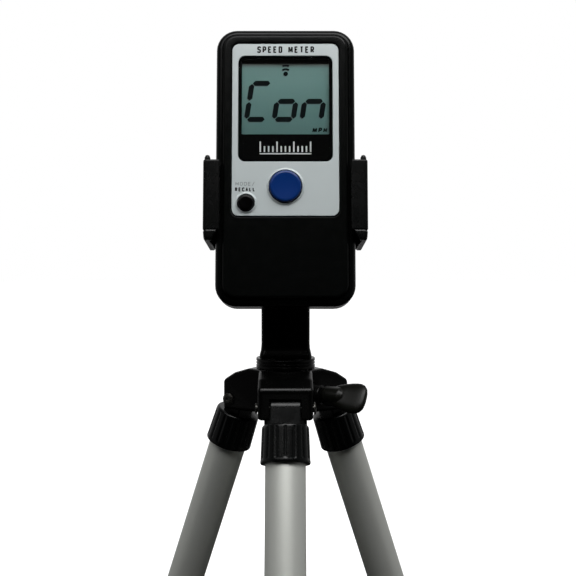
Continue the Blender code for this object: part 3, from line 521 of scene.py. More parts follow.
def cross_head(bm, centre, top, radius):
    """Cuts a cross recess into the head of a screw that faces backwards."""
    tools = []
    for turn in (0.25, 0.25 + math.pi / 2):
        blade = block((-radius * 0.62, radius * 0.62), (-radius * 0.13, radius * 0.13), (-0.9, 0.6))
        spun(spun(blade, turn), -math.pi / 2, "X")
        bmesh.ops.translate(blade, verts=blade.verts, vec=(centre[0], top, centre[1]))
        tools.append(blade)
    return cut(bm, *tools)


# ---- radar

def case_loop(depth, amount):
    half = WIDTH / 2 - amount
    corner = max(CORNER - amount, 2.0)
    return [(x, depth, z) for x, z in rounded_box(-half, half, amount, LENGTH - amount, corner)]


def plate_loop(depth, half, low, high, corner, grow=0.0):
    outline = rounded_box(-half - grow, half + grow, low - grow, high + grow, corner + grow)
    return [(x, depth, z) for x, z in outline]


def panel_loop(depth, grow):
    return plate_loop(depth, PANEL_HALF, PANEL_LOW, PANEL_HIGH, 3.0, grow)


def window_loop(depth, grow):
    return plate_loop(depth, WINDOW_HALF, WINDOW_LOW, WINDOW_HIGH, 3.0, grow)


def quarter(depth, amount, across, inward, steps):
    """Points of a quarter ellipse between a side wall and a face, as (depth, amount drawn in)."""
    points = []
    for i in range(1, steps + 1):
        angle = math.pi / 2 * i / steps
        points.append((depth + across * math.sin(angle), amount + inward * (1 - math.cos(angle))))
    return points


def make_front_case():
    """Shell with a rolled outer rim, a groove, a raised plate and the stepped recess for the panel."""
    edge = [(SPLIT - 0.15, 0.28), (SPLIT - 0.42, 0.0), (5.2, 0.0), *quarter(5.2, 0.0, -3.3, 2.55, 8)]
    edge += [(2.25, 2.68), (2.45, 2.85), (2.45, 3.05), (2.25, 3.2), (1.5, 3.28), (1.2, 3.3)]
    edge += quarter(1.2, 3.3, -1.2, 1.25, 6)
    rings = [case_loop(*pair) for pair in edge]
    rings += [panel_loop(*pair) for pair in ((0.0, 0.85), (0.1, 0.7), (0.55, 0.32), (1.25, 0.3))]
    rings += [window_loop(1.25, 0.2), window_loop(2.4, 0.2)]
    inner = ((2.4, 5.4), (3.6, 4.2), (5.0, 2.8), (7.0, 1.9), (SPLIT - 0.15, WALL))
    rings += [case_loop(*pair) for pair in inner]
    holes = [rod(radius + 0.85, 0.6, 4.5, "Y", centre) for centre, radius in KEYS]
    shell = cut(loft(rings, loop=True), *holes)
    place("case_front_shell", shell, RADAR, "case", "case_plastic", "front_case")


def back_edge():
    return quarter(BACK_CURVE, 0.0, DEPTH - BACK_CURVE, 4.2, 12)


def make_rear_case():
    """Back shell with a blank label recess, the open battery bay and two counterbored screws."""
    edge = [(21.2, 5.4), (20.6, 3.9), (19.2, 2.5), (17.0, 1.85), (SPLIT + 0.15, WALL)]
    edge += [(SPLIT + 0.15, 0.28), (SPLIT + 0.42, 0.0), (BACK_CURVE, 0.0), *back_edge()]
    rings = [case_loop(*pair) for pair in edge]
    rings += [plate_loop(DEPTH - sunk, *LABEL, grow) for sunk, grow in ((0, 0.35), (0.08, 0.12), (0.4, 0))]
    slot = DOOR_HALF + GAP
    tools = [block((-slot, slot), (DOOR_FLOOR - GAP, 30), (-2, DOOR_TOP + GAP))]
    counterbore = [(0, 20.3), (2.5, 20.3), (2.5, 22.6), (3.1, 23.4), (0, 23.4)]
    head = [(0, 7), (1.0, 7), (1.0, 20.6), (2.2, 20.6), (2.2, 21.4), (1.5, 21.9), (0, 21.95)]
    centres = ((-SCREW_X, SCREW_Z), (SCREW_X, SCREW_Z))
    for centre in centres:
        tools += [rod(1.3, 10, 30, "Y", centre, 24), turned(counterbore, "Y", centre, 40)]
    shell = eased(cut(loft(rings), *tools), 0.18, 60)
    place("case_rear_shell", shell, RADAR, "rear", "case_plastic", "rear_case")
    for number, centre in enumerate(centres, 1):
        screw = cross_head(lathe(head, 0.15, "Y", centre, 40), centre, 21.95, 2.2)
        place(f"case_back_screw_{number}", screw, RADAR, "steel", "bright_steel", f"case_screw_{number}")

    outside = loft([case_loop(18, 0.0)] + [case_loop(*pair) for pair in back_edge()])
    keeper = slab(rounded_box(-DOOR_HALF, DOOR_HALF, -6.0, DOOR_TOP, 1.6), DOOR_FLOOR, 30, "Y", 0.3)
    door = combined(outside, "INTERSECT", keeper)
    grips = [rod(0.75, -6, 6, "X", (DEPTH + 0.25, 46.5 + 2.0 * row), 20) for row in range(5)]
    arrow = softened([(-2.2, 42.6), (0, 40.2), (2.2, 42.6)], 0.3)
    door = eased(cut(door, *grips, slab(arrow, DEPTH - 0.35, DEPTH + 1, "Y", 0.05, 1)), 0.2, 55)
    place("battery_bay_door", door, RADAR, "rear", "case_plastic", "battery_door")


def make_panel():
    """Silver panel with a chamfered rim, its window, and a formed funnel round each key."""
    chamfer = ((0.9, 0.0), (0.5, 0.0), (0.36, 0.07), (0.3, 0.22))
    rings = [panel_loop(depth, -amount) for depth, amount in chamfer]
    panel = loft(rings + [window_loop(*pair) for pair in reversed(chamfer)], loop=True)
    for centre, radius in KEYS:
        throat, rim = radius + 0.25, radius + 1.25
        lip = [(throat, 2.2), (throat, 0.1), (throat + 0.08, -0.12), (throat + 0.2, -0.2)]
        lip += [(throat + 0.36, -0.16), (throat + 0.7, 0.12), (rim, 0.28), (rim + 0.3, 0.34)]
        lip += [(rim + 0.3, 0.8), (radius + 0.72, 0.8), (radius + 0.72, 2.2)]
        panel = cut(panel, rod(throat + 0.3, -1, 3, "Y", centre, 80))
        panel = joined(panel, turned(lip, "Y", centre, 80))
    place("silver_face_panel", panel, RADAR, "panel", "silver_panel", "face_panel")


def make_window():
    """Clear lens, gloss black mask with a plain scale printed on it, and the display's sheet."""
    def glass(depth, amount):
        return window_loop(depth, -GAP - amount)

    edge = ((0.45, 0.16), (0.47, 0.05), (0.55, 0.0), (1.1, 0.0), (1.2, 0.1))
    lens = loft([glass(*pair) for pair in edge])
    place("display_window", lens, RADAR, "lens", "clear_lens", "display_lens")

    def view(depth, grow):
        return plate_loop(depth, VIEW_HALF, VIEW_LOW, VIEW_HIGH, 0.5, grow)

    rings = [glass(3.1, 0.0), glass(1.6, 0.0), glass(1.5, 0.1)]
    rings += [view(1.5, 0.12), view(1.6, 0.0), view(3.1, 0.0)]
    place("window_black_mask", loft(rings, loop=True), RADAR, "mask", "black_mask", "window_mask")

    low, high = inside("lcd_panel", RADAR)
    outline = rounded_box(low[0], high[0], low[2], high[2], 0.6, 3)
    place("lcd_sheet", slab(outline, low[1], high[1], "Y", 0.15, 2), RADAR, "lcd", "lcd_glass", "lcd_panel")

    marks = bmesh.new()
    foot, pitch, half = 66.2, 1.8, 0.32
    strokes = [(-11.12, 11.12, foot - 1.0, foot - 0.45)]
    for number in range(13):
        x = pitch * (number - 6)
        strokes.append((x - half, x + half, foot, foot + (4.6 if number % 4 == 0 else 2.6)))
    for stroke in strokes:
        add_plate(marks, rounded_box(*stroke, 0.2, 2), 1.47, 1.5)
    place("mask_scale", marks, RADAR, "white_print", "white_plastic", body="radar")


def add_plate(bm, outline, front, back):
    """Adds a thin plate to a mesh."""
    skin(bm, [[(x, depth, z) for x, z in outline] for depth in (front, back)])


PRINT_DEPTH, PRINT_THICKNESS = 0.275, 0.04
SEGMENT_DEPTH = 3.32
SEGMENT_BASE, SEGMENT_RISE, SEGMENT_SPAN = 81.05, 8.0, 8.2
SLANT = 0.15
SIGNAL_MARK = (0.1, 101.3)  # a dot under two arcs
BARS = {
    "a": ((0, 2), (1, 2)), "b": ((1, 1), (1, 2)), "c": ((1, 0), (1, 1)), "d": ((0, 0), (1, 0)),
    "e": ((0, 0), (0, 1)), "f": ((0, 1), (0, 2)), "g": ((0, 1), (1, 1)),
}
DIGITS = ((-16.85, "adef"), (-4.85, "cdeg"), (7.15, "ceg"))


def segment_outline(origin, bar):
    """One slanted, pointed bar of a seven-segment digit."""
    (x0, z0), (x1, z1) = BARS[bar]
    start = Vector((x0 * SEGMENT_SPAN, z0 * SEGMENT_RISE))
    end = Vector((x1 * SEGMENT_SPAN, z1 * SEGMENT_RISE))
    along = (end - start).normalized()
    across = Vector((-along.y, along.x)) * 1.12
    start, end = start + along * 0.28, end - along * 0.28
    tip = 1.0
    points = [start, start + along * tip - across, end - along * tip - across, end]
    points += [end - along * tip + across, start + along * tip + across]
    slanted = [(origin + p.x + p.y * SLANT, SEGMENT_BASE + p.y) for p in points]
    return softened(slanted, 0.35, 3)


def make_display():
    segments, shadows = bmesh.new(), bmesh.new()
    outlines = [segment_outline(origin, bar) for origin, bars in DIGITS for bar in bars]
    outlines.append(circle(1.0, 24, SIGNAL_MARK))
    for radius, half in ((2.1, 42), (3.7, 22)):
        ring = arc(SIGNAL_MARK, radius + 0.4, 90 - half, 90 + half, 8)
        outlines.append(ring + arc(SIGNAL_MARK, radius - 0.4, 90 + half, 90 - half, 8))
    behind = SEGMENT_DEPTH + 0.055
    for outline in outlines:
        add_plate(segments, outline, SEGMENT_DEPTH, SEGMENT_DEPTH + PRINT_THICKNESS)
        add_plate(shadows, [(x - 0.22, z - 0.3) for x, z in outline], behind, behind + 0.02)
    place("lcd_segments", closed_mesh(segments), RADAR, "segment", "black_mask", body="radar")
    place("lcd_segment_shadows", closed_mesh(shadows), RADAR, "segment_shadow", "lcd_glass", body="radar")
    lettering("lcd_unit", "MPH", (14.6, 75.2), 2.2, SEGMENT_DEPTH, "segment", 6.2, 0.60, shear=0.2)


STROKES = {  # each letter as lines in a unit box, where a third number rounds that corner
    "A": [[(0, 0), (0.5, 1, 0.03), (1, 0)], [(0.17, 0.3), (0.83, 0.3)]],
    "C": [[(1, 0.76), (1, 1, 0.4), (0, 1, 0.4), (0, 0, 0.4), (1, 0, 0.4), (1, 0.24)]],
    "D": [[(0.5, 1), (1, 1, 0.45), (1, 0, 0.45), (0, 0, 0.02), (0, 1, 0.02), (0.52, 1)]],
    "E": [[(1, 1), (0, 1, 0.02), (0, 0, 0.02), (1, 0)], [(0, 0.51), (0.86, 0.51)]],
    "H": [[(0, 0), (0, 1)], [(1, 0), (1, 1)], [(0, 0.51), (1, 0.51)]],
    "L": [[(0, 1), (0, 0, 0.02), (1, 0)]],
    "M": [[(0, 0), (0, 1)], [(0.05, 1), (0.5, 0.25), (0.95, 1)], [(1, 1), (1, 0)]],
    "O": [[(0, 0.5), (0, 0, 0.45), (1, 0, 0.45), (1, 1, 0.45), (0, 1, 0.45), (0, 0.48)]],
    "P": [[(0, 0), (0, 1, 0.02), (1, 1, 0.4), (1, 0.44, 0.4), (0, 0.44)]],
    "R": [[(0, 0), (0, 1, 0.02), (1, 1, 0.4), (1, 0.47, 0.4), (0, 0.47)], [(0.5, 0.47), (1, 0)]],
    "S": [[(1, 0.8), (1, 1, 0.35), (0, 1, 0.35), (0, 0.52, 0.35), (1, 0.48, 0.35), (1, 0, 0.35),
           (0, 0, 0.35), (0, 0.2)]],
    "T": [[(0, 1), (1, 1)], [(0.5, 1), (0.5, 0)]],
    "/": [[(0, -0.15), (1, 1.15)]],
    " ": [],
}


def add_stroke(bm, line, thickness, front, back):
    """A line drawn with a flat pen, as a thin closed strip between two depths."""
    ribs = []
    for i, point in enumerate(line):
        here = Vector(point)
        before = (here - Vector(line[i - 1])).normalized() if i else None
        after = (Vector(line[i + 1]) - here).normalized() if i + 1 < len(line) else None
        along = ((before or after) + (after or before)).normalized()
        across = Vector((-along.y, along.x)) * thickness / 2 / max(along.dot(before or after), 0.5)
        left, right = here + across, here - across
        corners = ((left, front), (right, front), (right, back), (left, back))
        ribs.append([(at.x, depth, at.y) for at, depth in corners])
    skin(bm, ribs)


def lettering(name, words, centre, height, depth, look, width, thickness, shear=0.0):
    """Plain stroked capitals on the radar's face. The width is that of the whole line."""
    gap, space = 0.42, 0.75  # between letters and between words, in letter widths
    sizes = [{" ": space, "M": 1.22}.get(letter, 1.0) for letter in words]
    units = sum(sizes) + gap * (len(words) - 1)
    unit = width / units
    left = centre[0] - width / 2
    made = bmesh.new()
    for letter, size in zip(words, sizes):
        for order, line in enumerate(STROKES[letter]):
            scaled = []
            for point in line:
                x = left + thickness / 2 + point[0] * (size * unit - thickness)
                z = thickness / 2 + point[1] * (height - thickness)
                scaled.append((x + z * shear, centre[1] + z, (point[2] if len(point) > 2 else 0) * unit))
            front = depth - 0.004 * order
            add_stroke(made, softened(scaled, 0, 5, closed=False), thickness, front, front + PRINT_THICKNESS)
        left += (size + gap) * unit
    bmesh.ops.recalc_face_normals(made, faces=made.faces)
    slot = "lcd_glass" if look == "segment" else "black_mask"
    place(name, made, RADAR, look, slot, body="radar")


def make_key(name, centre, radius, look, slot, node, dish):
    top = -1.8
    profile = [(0, top + dish), (radius * 0.55, top + dish * 0.6, 2.0), (radius - 1.15, top, 0.8)]
    profile += [(radius - 0.5, top + 0.15, 0.5), (radius - 0.1, top + 0.85, 0.4), (radius - 0.08, -0.4, 0.3)]
    profile += [(radius - 0.08, 3.0, 0.05)]
    profile += [(radius + 1.6, 3.0, 0.1), (radius + 1.6, 4.0, 0.1), (0, 4.0)]
    place(name, lathe(profile, 0.2, "Y", centre, 96, 4), RADAR, look, slot, node)


def make_radar():
    make_front_case()
    make_rear_case()
    make_panel()
    make_window()
    make_display()
    lettering("panel_heading", "SPEED METER", (0.1, 109.5), 3.0, PRINT_DEPTH, "print", 24.6, 0.66)
    lettering("key_legend_upper", "MODE/", (-17.2, 51.3), 1.6, PRINT_DEPTH, "grey_print", 8.2, 0.26)
    lettering("key_legend_lower", "RECALL", (-17.2, 48.8), 1.75, PRINT_DEPTH, "print", 8.6, 0.46)
    make_key("blue_measure_key", MEASURE_KEY, MEASURE_RADIUS, "blue", "blue_key", "measure_button", 0.22)
    make_key("black_mode_key", MODE_KEY, MODE_RADIUS, "black_key", "black_key", "mode_button", 0.0)
    keep("white", "white_plastic", "lcd_holder")
    keep("rubber", "rubber", "keypad")
    keep("board", "circuit_board", "main_board", "antenna_board")
    keep("steel", "bright_steel", "shield_can", "battery_contact_lower", "battery_contact_upper")
    for node in ("battery_left", "battery_right"):
        make_battery(node)


def make_battery(node):
    """Cell with its sleeve turned over both ends, a bright can end and the positive tip."""
    low, high = inside(node, RADAR)
    x, y, z = [(a + b) / 2 for a, b in zip(low, high)]
    up = 1 if node == "battery_left" else -1
    profile = [(0, -22.3), (3.9, -22.3, 0.2), (4.1, -22.1, 0.1), (4.7, -22.3, 0.2), (5.1, -21.7, 0.3)]
    profile += [(5.1, 20.7, 0.3), (4.7, 21.3, 0.2), (4.1, 21.1, 0.1), (3.9, 21.3, 0.1), (1.85, 21.3, 0.1)]
    profile += [(1.8, 22.1, 0.2), (0, 22.3)]
    cell = lathe([(p[0], up * p[1] + z, *p[2:]) for p in profile], 0.2, "Z", (x, y), 48)
    place(f"cell_{node}", cell, RADAR, "cell", "battery_sleeve", node)


# ---- cradle

def rack_outline(first, last):
    """Toothed edge of the upper arm, as (x, height) points."""
    pitch = math.pi * GEAR_MODULE
    line = PINION_HEIGHT + PINION_TEETH * GEAR_MODULE / 2
    tip, root = line - RACK_ADDENDUM, line + RACK_DEDENDUM
    slope = math.tan(math.radians(20))
    points = []
    for number in range(first, last + 1):
        middle = (number + 0.5) * pitch
        tip_half = TOOTH_THICKNESS / 2 - RACK_ADDENDUM * slope
        root_half = TOOTH_THICKNESS / 2 + RACK_DEDENDUM * slope
        points += [(middle - root_half, root), (middle - tip_half, tip)]
        points += [(middle + tip_half, tip), (middle + root_half, root)]
    return points


def jaw_section(lip, outer, amount):
    """Plan of a jaw: a wall beside the radar and a lip in front of it."""
    left, right, inner = lip + amount, outer - amount, JAW_INSIDE + amount
    front, back, lip_back = LIP_FRONT + amount, ARM_BACK - 0.5 - amount, LIP_BACK - amount
    corners = (((left, front), 0.8), ((right, front), 1.7), ((right, back), 0.9), ((inner, back), 0.3))
    points = [(*corner, max(radius - amount, 0.1)) for corner, radius in corners]
    points += [(inner, lip_back, 0.5 + amount), (left, lip_back, max(0.5 - amount, 0.1))]
    return softened(points, 0.5, 5)


def jaw_wall():
    """Each level gives a height, how far the lip and the outside step back, and a draw-in all round."""
    levels = [(JAW_TOP, 0, 0, 0.75), (JAW_TOP - 0.1, 0, 0, 0.4), (JAW_TOP - 0.35, 0, 0, 0.12)]
    levels += [(JAW_TOP - 0.75, 0, 0, 0), (JAW_TAPER + 0.6, 0, 0, 0), (JAW_TAPER + 0.2, 0, 0, 0.12)]
    levels += [(JAW_TAPER, 0.4, 0, 0.35), (JAW_TAPER - 0.35, 1.2, 0.1, 0.3), (JAW_TAPER - 0.7, 1.5, 0.12, 0)]
    levels += [(22.2, 2.1, 0.2, 0), (21.0, 2.8, 0.3, 0), (20.1, 3.1, 0.4, 0.1), (JAW_BOTTOM, 3.2, 0.45, 0.4)]
    rings = []
    for height, lip, out, amount in levels:
        plan = jaw_section(LIP_EDGE + lip, JAW_OUTSIDE - out, amount)
        rings.append([(x, y, height) for x, y in plan])
    return loft(rings)


def mirrored(bm, matrix):
    bmesh.ops.transform(bm, matrix=matrix, verts=bm.verts)
    bmesh.ops.recalc_face_normals(bm, faces=bm.faces)
    return bm


def make_jaw(name, side):
    arm_top = PINION_HEIGHT + 11
    teeth = rack_outline(-6, 1)
    arm = [(-15.5, teeth[0][1]), *teeth, (31, teeth[0][1]), (31, arm_top), (-15.5, arm_top)]
    arm = slab(softened(arm, 0.12, 2), ARM_FRONT, ARM_BACK, "Y", 0.12, 2)
    if side < 0:
        mirrored(arm, Matrix.Translation((0, 0, 2 * PINION_HEIGHT)) @ Matrix.Diagonal((1, 1, -1, 1)))
    spine = softened([(26.3, 20), (34.0, 20), (34.9, 21.5), (34.9, 52), (33.5, 53.9), (26.3, 53.9)], 1.2)
    spine = slab(spine, -15.3, ARM_BACK, "Y", 0.7)
    nub = lathe([(0, 52), (1.25, 52), (1.25, 55.4, 0.3), (0.8, 56.4, 0.4), (0, 56.7)], 0.3,
                centre=(33.3, -38.5), sides=32)
    ribs = []
    for row in range(5):
        low = 30.5 + 4.2 * row
        groove = rounded_box(-36, -20, low, low + 1.5, 0.7, 4)
        ribs.append(slab(groove, JAW_OUTSIDE - 0.35, JAW_OUTSIDE + 1, "X", 0.1, 1))
    jaw = cut(joined(jaw_wall(), spine, arm, nub), *ribs)
    pad = rounded_box(-38.6, -16.6, JAW_TAPER, JAW_TOP - 1, 1.5)
    pad_out = JAW_INSIDE - GAP
    pad = slab(pad, pad_out - PAD_THICKNESS, pad_out, "X", 0.35)
    if side < 0:
        mirror = Matrix.Diagonal((-1, 1, 1, 1))
        mirrored(jaw, mirror)
        mirrored(pad, mirror)
    place(f"cradle_{name}_jaw", jaw, TILT, "cradle", "cradle_plastic", f"{name}_jaw")
    place(f"cradle_{name}_pad", pad, TILT, "rubber", "rubber", f"{name}_pad")


def make_housing():
    """Gearbox of the cradle, with slots for the arms and a foot, and its ribbed back cover."""
    shell = rounded_box(-HOUSING_HALF, HOUSING_HALF, BLOCK_TOP - 1, HOUSING_TOP, 4)
    shell = slab(shell, HOUSING_FRONT, HOUSING_BACK, "Y", 0.9)
    base = slab(rounded_box(-13, 13, HOUSING_FRONT + 0.1, 4, 2), BLOCK_BOTTOM, BLOCK_TOP, "Z", 0.7)
    wall = 1.6
    centres = ((-20, PINION_HEIGHT), (20, PINION_HEIGHT))
    front = HOUSING_FRONT + wall
    inner = HOUSING_HALF - wall
    cavity = rounded_box(-inner, inner, 28, HOUSING_TOP - wall, 2.4)
    cavity = loft([[(x, y, z) for x, z in cavity] for y in (front, 0.0)])
    housing = cut(joined(shell, base), cavity)
    posts = [rod(1.5, front - 0.5, -4, "Y", (0, PINION_HEIGHT), 24)]
    tools = [rod(4.8, 10, 25, "Z", (0, STUD_DEPTH))]
    for side, centre in zip((-1, 1), centres):
        posts.append(rod(2.6, front - 0.5, HOUSING_BACK - 0.1, "Y", centre, 24))
        across = sorted((side * 20, side * 30))
        heights = sorted((PINION_HEIGHT + side * 4.7, PINION_HEIGHT + side * 11.3))
        tools.append(block(across, (ARM_FRONT - GAP, ARM_BACK + GAP), heights))
        tools.append(rod(1.3, -11, 0, "Y", centre, 24))
    housing = cut(joined(housing, *posts), *tools)
    place("cradle_housing", housing, TILT, "rear", "cradle_plastic", "holder_housing")

    cover = rounded_box(-HOUSING_HALF, HOUSING_HALF, BLOCK_TOP + GAP, HOUSING_TOP, 4)
    cover = slab(cover, HOUSING_BACK + GAP, -0.8, "Y", 0.6)
    pocket = rounded_box(-13.5, 13.5, 30, 50, 3)
    walls = ((-1.3, 0.25), (0.2, -0.35))
    cover = cut(cover, loft([[(x, y, z) for x, z in drawn_in(pocket, amount)] for y, amount in walls]))
    ribs = [rounded_box(-11, 11, z, z + 1.3, 0.6, 4) for z in (33.5, 37, 40.5, 44)]
    cover = joined(cover, *[slab(rib, -1.6, -0.9, "Y", 0.2, 2) for rib in ribs])
    tools = []
    counterbore = [(0, -2.1), (2.6, -2.1), (2.6, -1.1), (3.1, -0.6), (0, -0.6)]
    head = [(0, -9.5), (1.0, -9.5), (1.0, -1.8), (2.3, -1.8), (2.25, -1.3), (1.5, -1.0), (0, -0.98)]
    for centre in centres:
        tools += [rod(1.4, -5, 1, "Y", centre, 24), turned(counterbore, "Y", centre, 40)]
    place("cradle_cover", cut(cover, *tools), TILT, "rear", "cradle_plastic", "holder_cover")
    for number, centre in enumerate(centres, 1):
        screw = cross_head(lathe(head, 0.12, "Y", centre, 40), centre, -1.0, 2.3)
        place(f"cradle_screw_{number}", screw, TILT, "steel", "bright_steel", f"cover_screw_{number}")
    keep("white", "white_plastic", "pinion")
    keep("steel", "bright_steel", "grip_spring")
    keep("brass", "brass", "thread_insert")


# ---- head

def make_tilt_head():
    half = EAR_SLOT_HALF - GAP
    tongue = arc((0, 0), TONGUE_RADIUS, 143, 397, 32) + [(5.9, PLATE_BOTTOM + 1), (-5.9, PLATE_BOTTOM + 1)]
    tongue = slab(tongue, -half, half, "X", 0.3, 2)
    plate = slab(rounded_box(-15, 15, -15.2, 7.4, 3), PLATE_BOTTOM, PLATE_TOP, "Z", 0.8)
    hole = rod(TILT_SCREW_RADIUS + GAP, -20, 20, "X", sides=32)
    well = rod(STUD_RADIUS + GAP, 7.9, 20, "Z", (0, STUD_DEPTH), 32)
    platform = cut(joined(tongue, plate), hole, well)
    place("head_platform", platform, TILT, "moulding", "tripod_plastic", "tilt_platform")

    thread = [(0, 8.2), (STUD_RADIUS, 8.2)]
    thread += [(STUD_RADIUS - (0.35 if i % 2 else 0.0), 13.4 + 0.35 * i) for i in range(28)]
    thread += [(STUD_RADIUS - 0.7, 24.5), (0, 24.5)]
    stud = turned(thread, "Z", (0, STUD_DEPTH), 40)
    place("camera_stud", stud, TILT, "steel", "bright_steel", "mount_stud")

    rings = []
    low, high = PLATE_TOP + GAP, BLOCK_BOTTOM - GAP
    levels = ((low, 0.5, 0.25), (low + 0.4, 0.0, 0.7), (high - 0.4, 0.0, 0.7), (high, 0.5, 0.25))
    for height, amount, depth in levels:
        rings.append(wavy(LOCK_RING_RADIUS - amount, height, depth, 20, centre=(0, STUD_DEPTH)))
    ring = cut(loft(rings), rod(STUD_RADIUS + GAP, 0, 30, "Z", (0, STUD_DEPTH), 40))
    place("camera_lock_ring", ring, TILT, "moulding", "tripod_plastic", "lock_ring")

    screw = [(0, 10.4), (2.3, 10.4, 0.3), (2.3, -11.3, 0.05), (4.4, -11.3, 0.2), (4.8, -12.1, 0.3)]
    screw += [(4.8, -17.5, 0.6), (3.6, -19.5, 0.5), (0, -19.5)]
    wing = slab(rounded_box(-7.4, 7.4, -2.1, 2.1, 2.05), -25, -17, "X", 1.0)
    knob = joined(lathe(screw, 0.3, "X", sides=48), wing)
    place("tilt_wing_knob", knob, TILT, "moulding", "tripod_plastic", "tilt_knob")


def wavy(radius, height, depth, count, per=8, centre=(0, 0), power=1.0):
    """Ring of points with evenly spaced hollows."""
    points = []
    for i in range(count * per):
        angle = 2 * math.pi * i / (count * per)
        hollow = (0.5 + 0.5 * math.cos(count * angle)) ** power
        r = radius - depth * hollow
        points.append((centre[0] + r * math.cos(angle), centre[1] + r * math.sin(angle), height))
    return points


def make_neck():
    low = RING_TOP + GAP
    side = arc((0, TILT_HEIGHT), NECK_HALF_DEPTH, 0, 180, 28)
    side += [(-NECK_HALF_DEPTH, low + 3), (NECK_HALF_DEPTH, low + 3)]
    post = slab(side, -NECK_HALF_WIDTH, NECK_HALF_WIDTH, "X", 1.9, 5)
    flare = []
    levels = [(0.0, 11.6, 9.7), (0.15, 11.85, 9.95), (0.5, 11.9, 10.0), (2.0, 11.75, 9.8)]
    for rise, half_x, half_y in levels + [(3.4, 11.3, 9.1), (5.0, 11.15, 8.75), (6.3, 11.05, 8.6)]:
        outline = rounded_box(-half_x, half_x, -half_y, half_y, 2.4)
        flare.append([(x, y, low + rise) for x, y in outline])
    spigot = rod(4.6, 8, low + 2, sides=40)
    pocket = TONGUE_RADIUS + 0.4
    slot = arc((0, TILT_HEIGHT), pocket, 180, 270, 14)
    slot += [(20, TILT_HEIGHT - pocket), (20, TILT_HEIGHT + 20), (-20, TILT_HEIGHT + 20), (-20, TILT_HEIGHT)]
    slot = loft([[(x, y, z) for y, z in slot] for x in (-EAR_SLOT_HALF, EAR_SLOT_HALF)])
    hole = rod(TILT_SCREW_RADIUS + GAP, -20, 20, "X", (0, TILT_HEIGHT), 32)
    neck = cut(joined(post, loft(flare), spigot), slot, hole)
    place("head_neck", neck, HUB, "moulding", "tripod_plastic", "pan_neck")


def hollow_tube(radius, wall, low, high):
    return [(radius - wall, low), (radius, low), (radius, high), (radius - wall, high)]


def make_column():
    tube = hollow_tube(COLUMN_RADIUS, 1.1, COLUMN_END, RING_TOP)
    place("column_tube", lathe(tube, 0.25), HUB, "tube", "aluminium_tube", "column")
    bore = COLUMN_RADIUS + GAP
    low, high = RING_BOTTOM, RING_TOP
    rings = [(bore, low, 0.1), (RING_RADIUS, low, 0.4)]
    for share in (0.30, 0.58):
        start = low + (high - low) * share
        rings += [(RING_RADIUS, start, 0.2), (RING_RADIUS - 0.6, start + 0.2, 0.15)]
        rings += [(RING_RADIUS - 0.6, start + 0.5, 0.15), (RING_RADIUS, start + 0.7, 0.2)]
    rings += [(RING_RADIUS, high, 0.45), (bore, high, 0.1)]
    place("pan_collar", lathe(rings, 0.2, sides=96), HUB, "moulding", "tripod_plastic", "pan_ring")
    cap = [(0, -128), (6.6, -128, 0.6), (7.6, -126.5, 0.6), (7.6, -118.3, 0.4), (4.7, -118.3, 0.1)]
    cap += [(4.7, -108, 0.5), (0, -108)]
    place("column_end_cap", lathe(cap, 0.4), HUB, "rubber", "rubber", "column_cap")


def make_knob():
    """Screw with a flattened paddle handle. The knob's frame has the screw along -Y."""
    stem = [(0, -6.6), (2.3, -6.6, 0.3), (2.3, -19.6, 0.1), (3.4, -19.6, 0.6), (4.5, -21.2, 1.3)]
    stem += [(4.5, -28.6, 1.2), (3.0, -31.0, 1.5), (0, -31.4)]
    levels = [(-24.0, 3.0, 3.0), (-25.5, 4.5, 3.3), (-27.5, 5.5, 3.1), (-30.5, 6.4, 2.75)]
    levels += [(-33, 6.9, 2.45), (-35.5, 7.15, 2.3), (-37.5, 7.1, 2.2), (-39.2, 6.4, 2.0)]
    levels += [(-40.4, 5.0, 1.6), (-40.9, 3.3, 1.1), (-41, 1.4, 0.5)]
    flat = [(math.copysign(abs(u) ** 0.85, u), math.copysign(abs(v) ** 0.7, v)) for u, v in circle(1.0, 40)]
    rings = [[(thick * u, y, tall * v) for u, v in flat] for y, tall, thick in levels]
    wing = spun(loft(rings), PADDLE_LEAN, "Y")
    knob = joined(lathe(stem, 0.3, "Y", sides=48), wing)
    place("column_paddle_knob", knob, KNOB, "knob", "tripod_plastic", "column_knob")


# ---- tripod

def hub_star(half, reach):
    """Outline of three arms with filleted inner corners."""
    inner = half / math.sin(math.radians(60))
    outline = []
    for angle in sorted(LEG_ANGLE.values()):
        across = Vector((math.cos(angle), math.sin(angle)))
        out = Vector((math.sin(angle), -math.cos(angle)))
        outline.append((*(out * reach - across * half), 2.2))
        outline.append((*(out * reach + across * half), 2.2))
        corner = angle + math.radians(60)
        outline.append((inner * math.sin(corner), -inner * math.cos(corner), 5.0))
    return softened(outline, 2.2, 6)


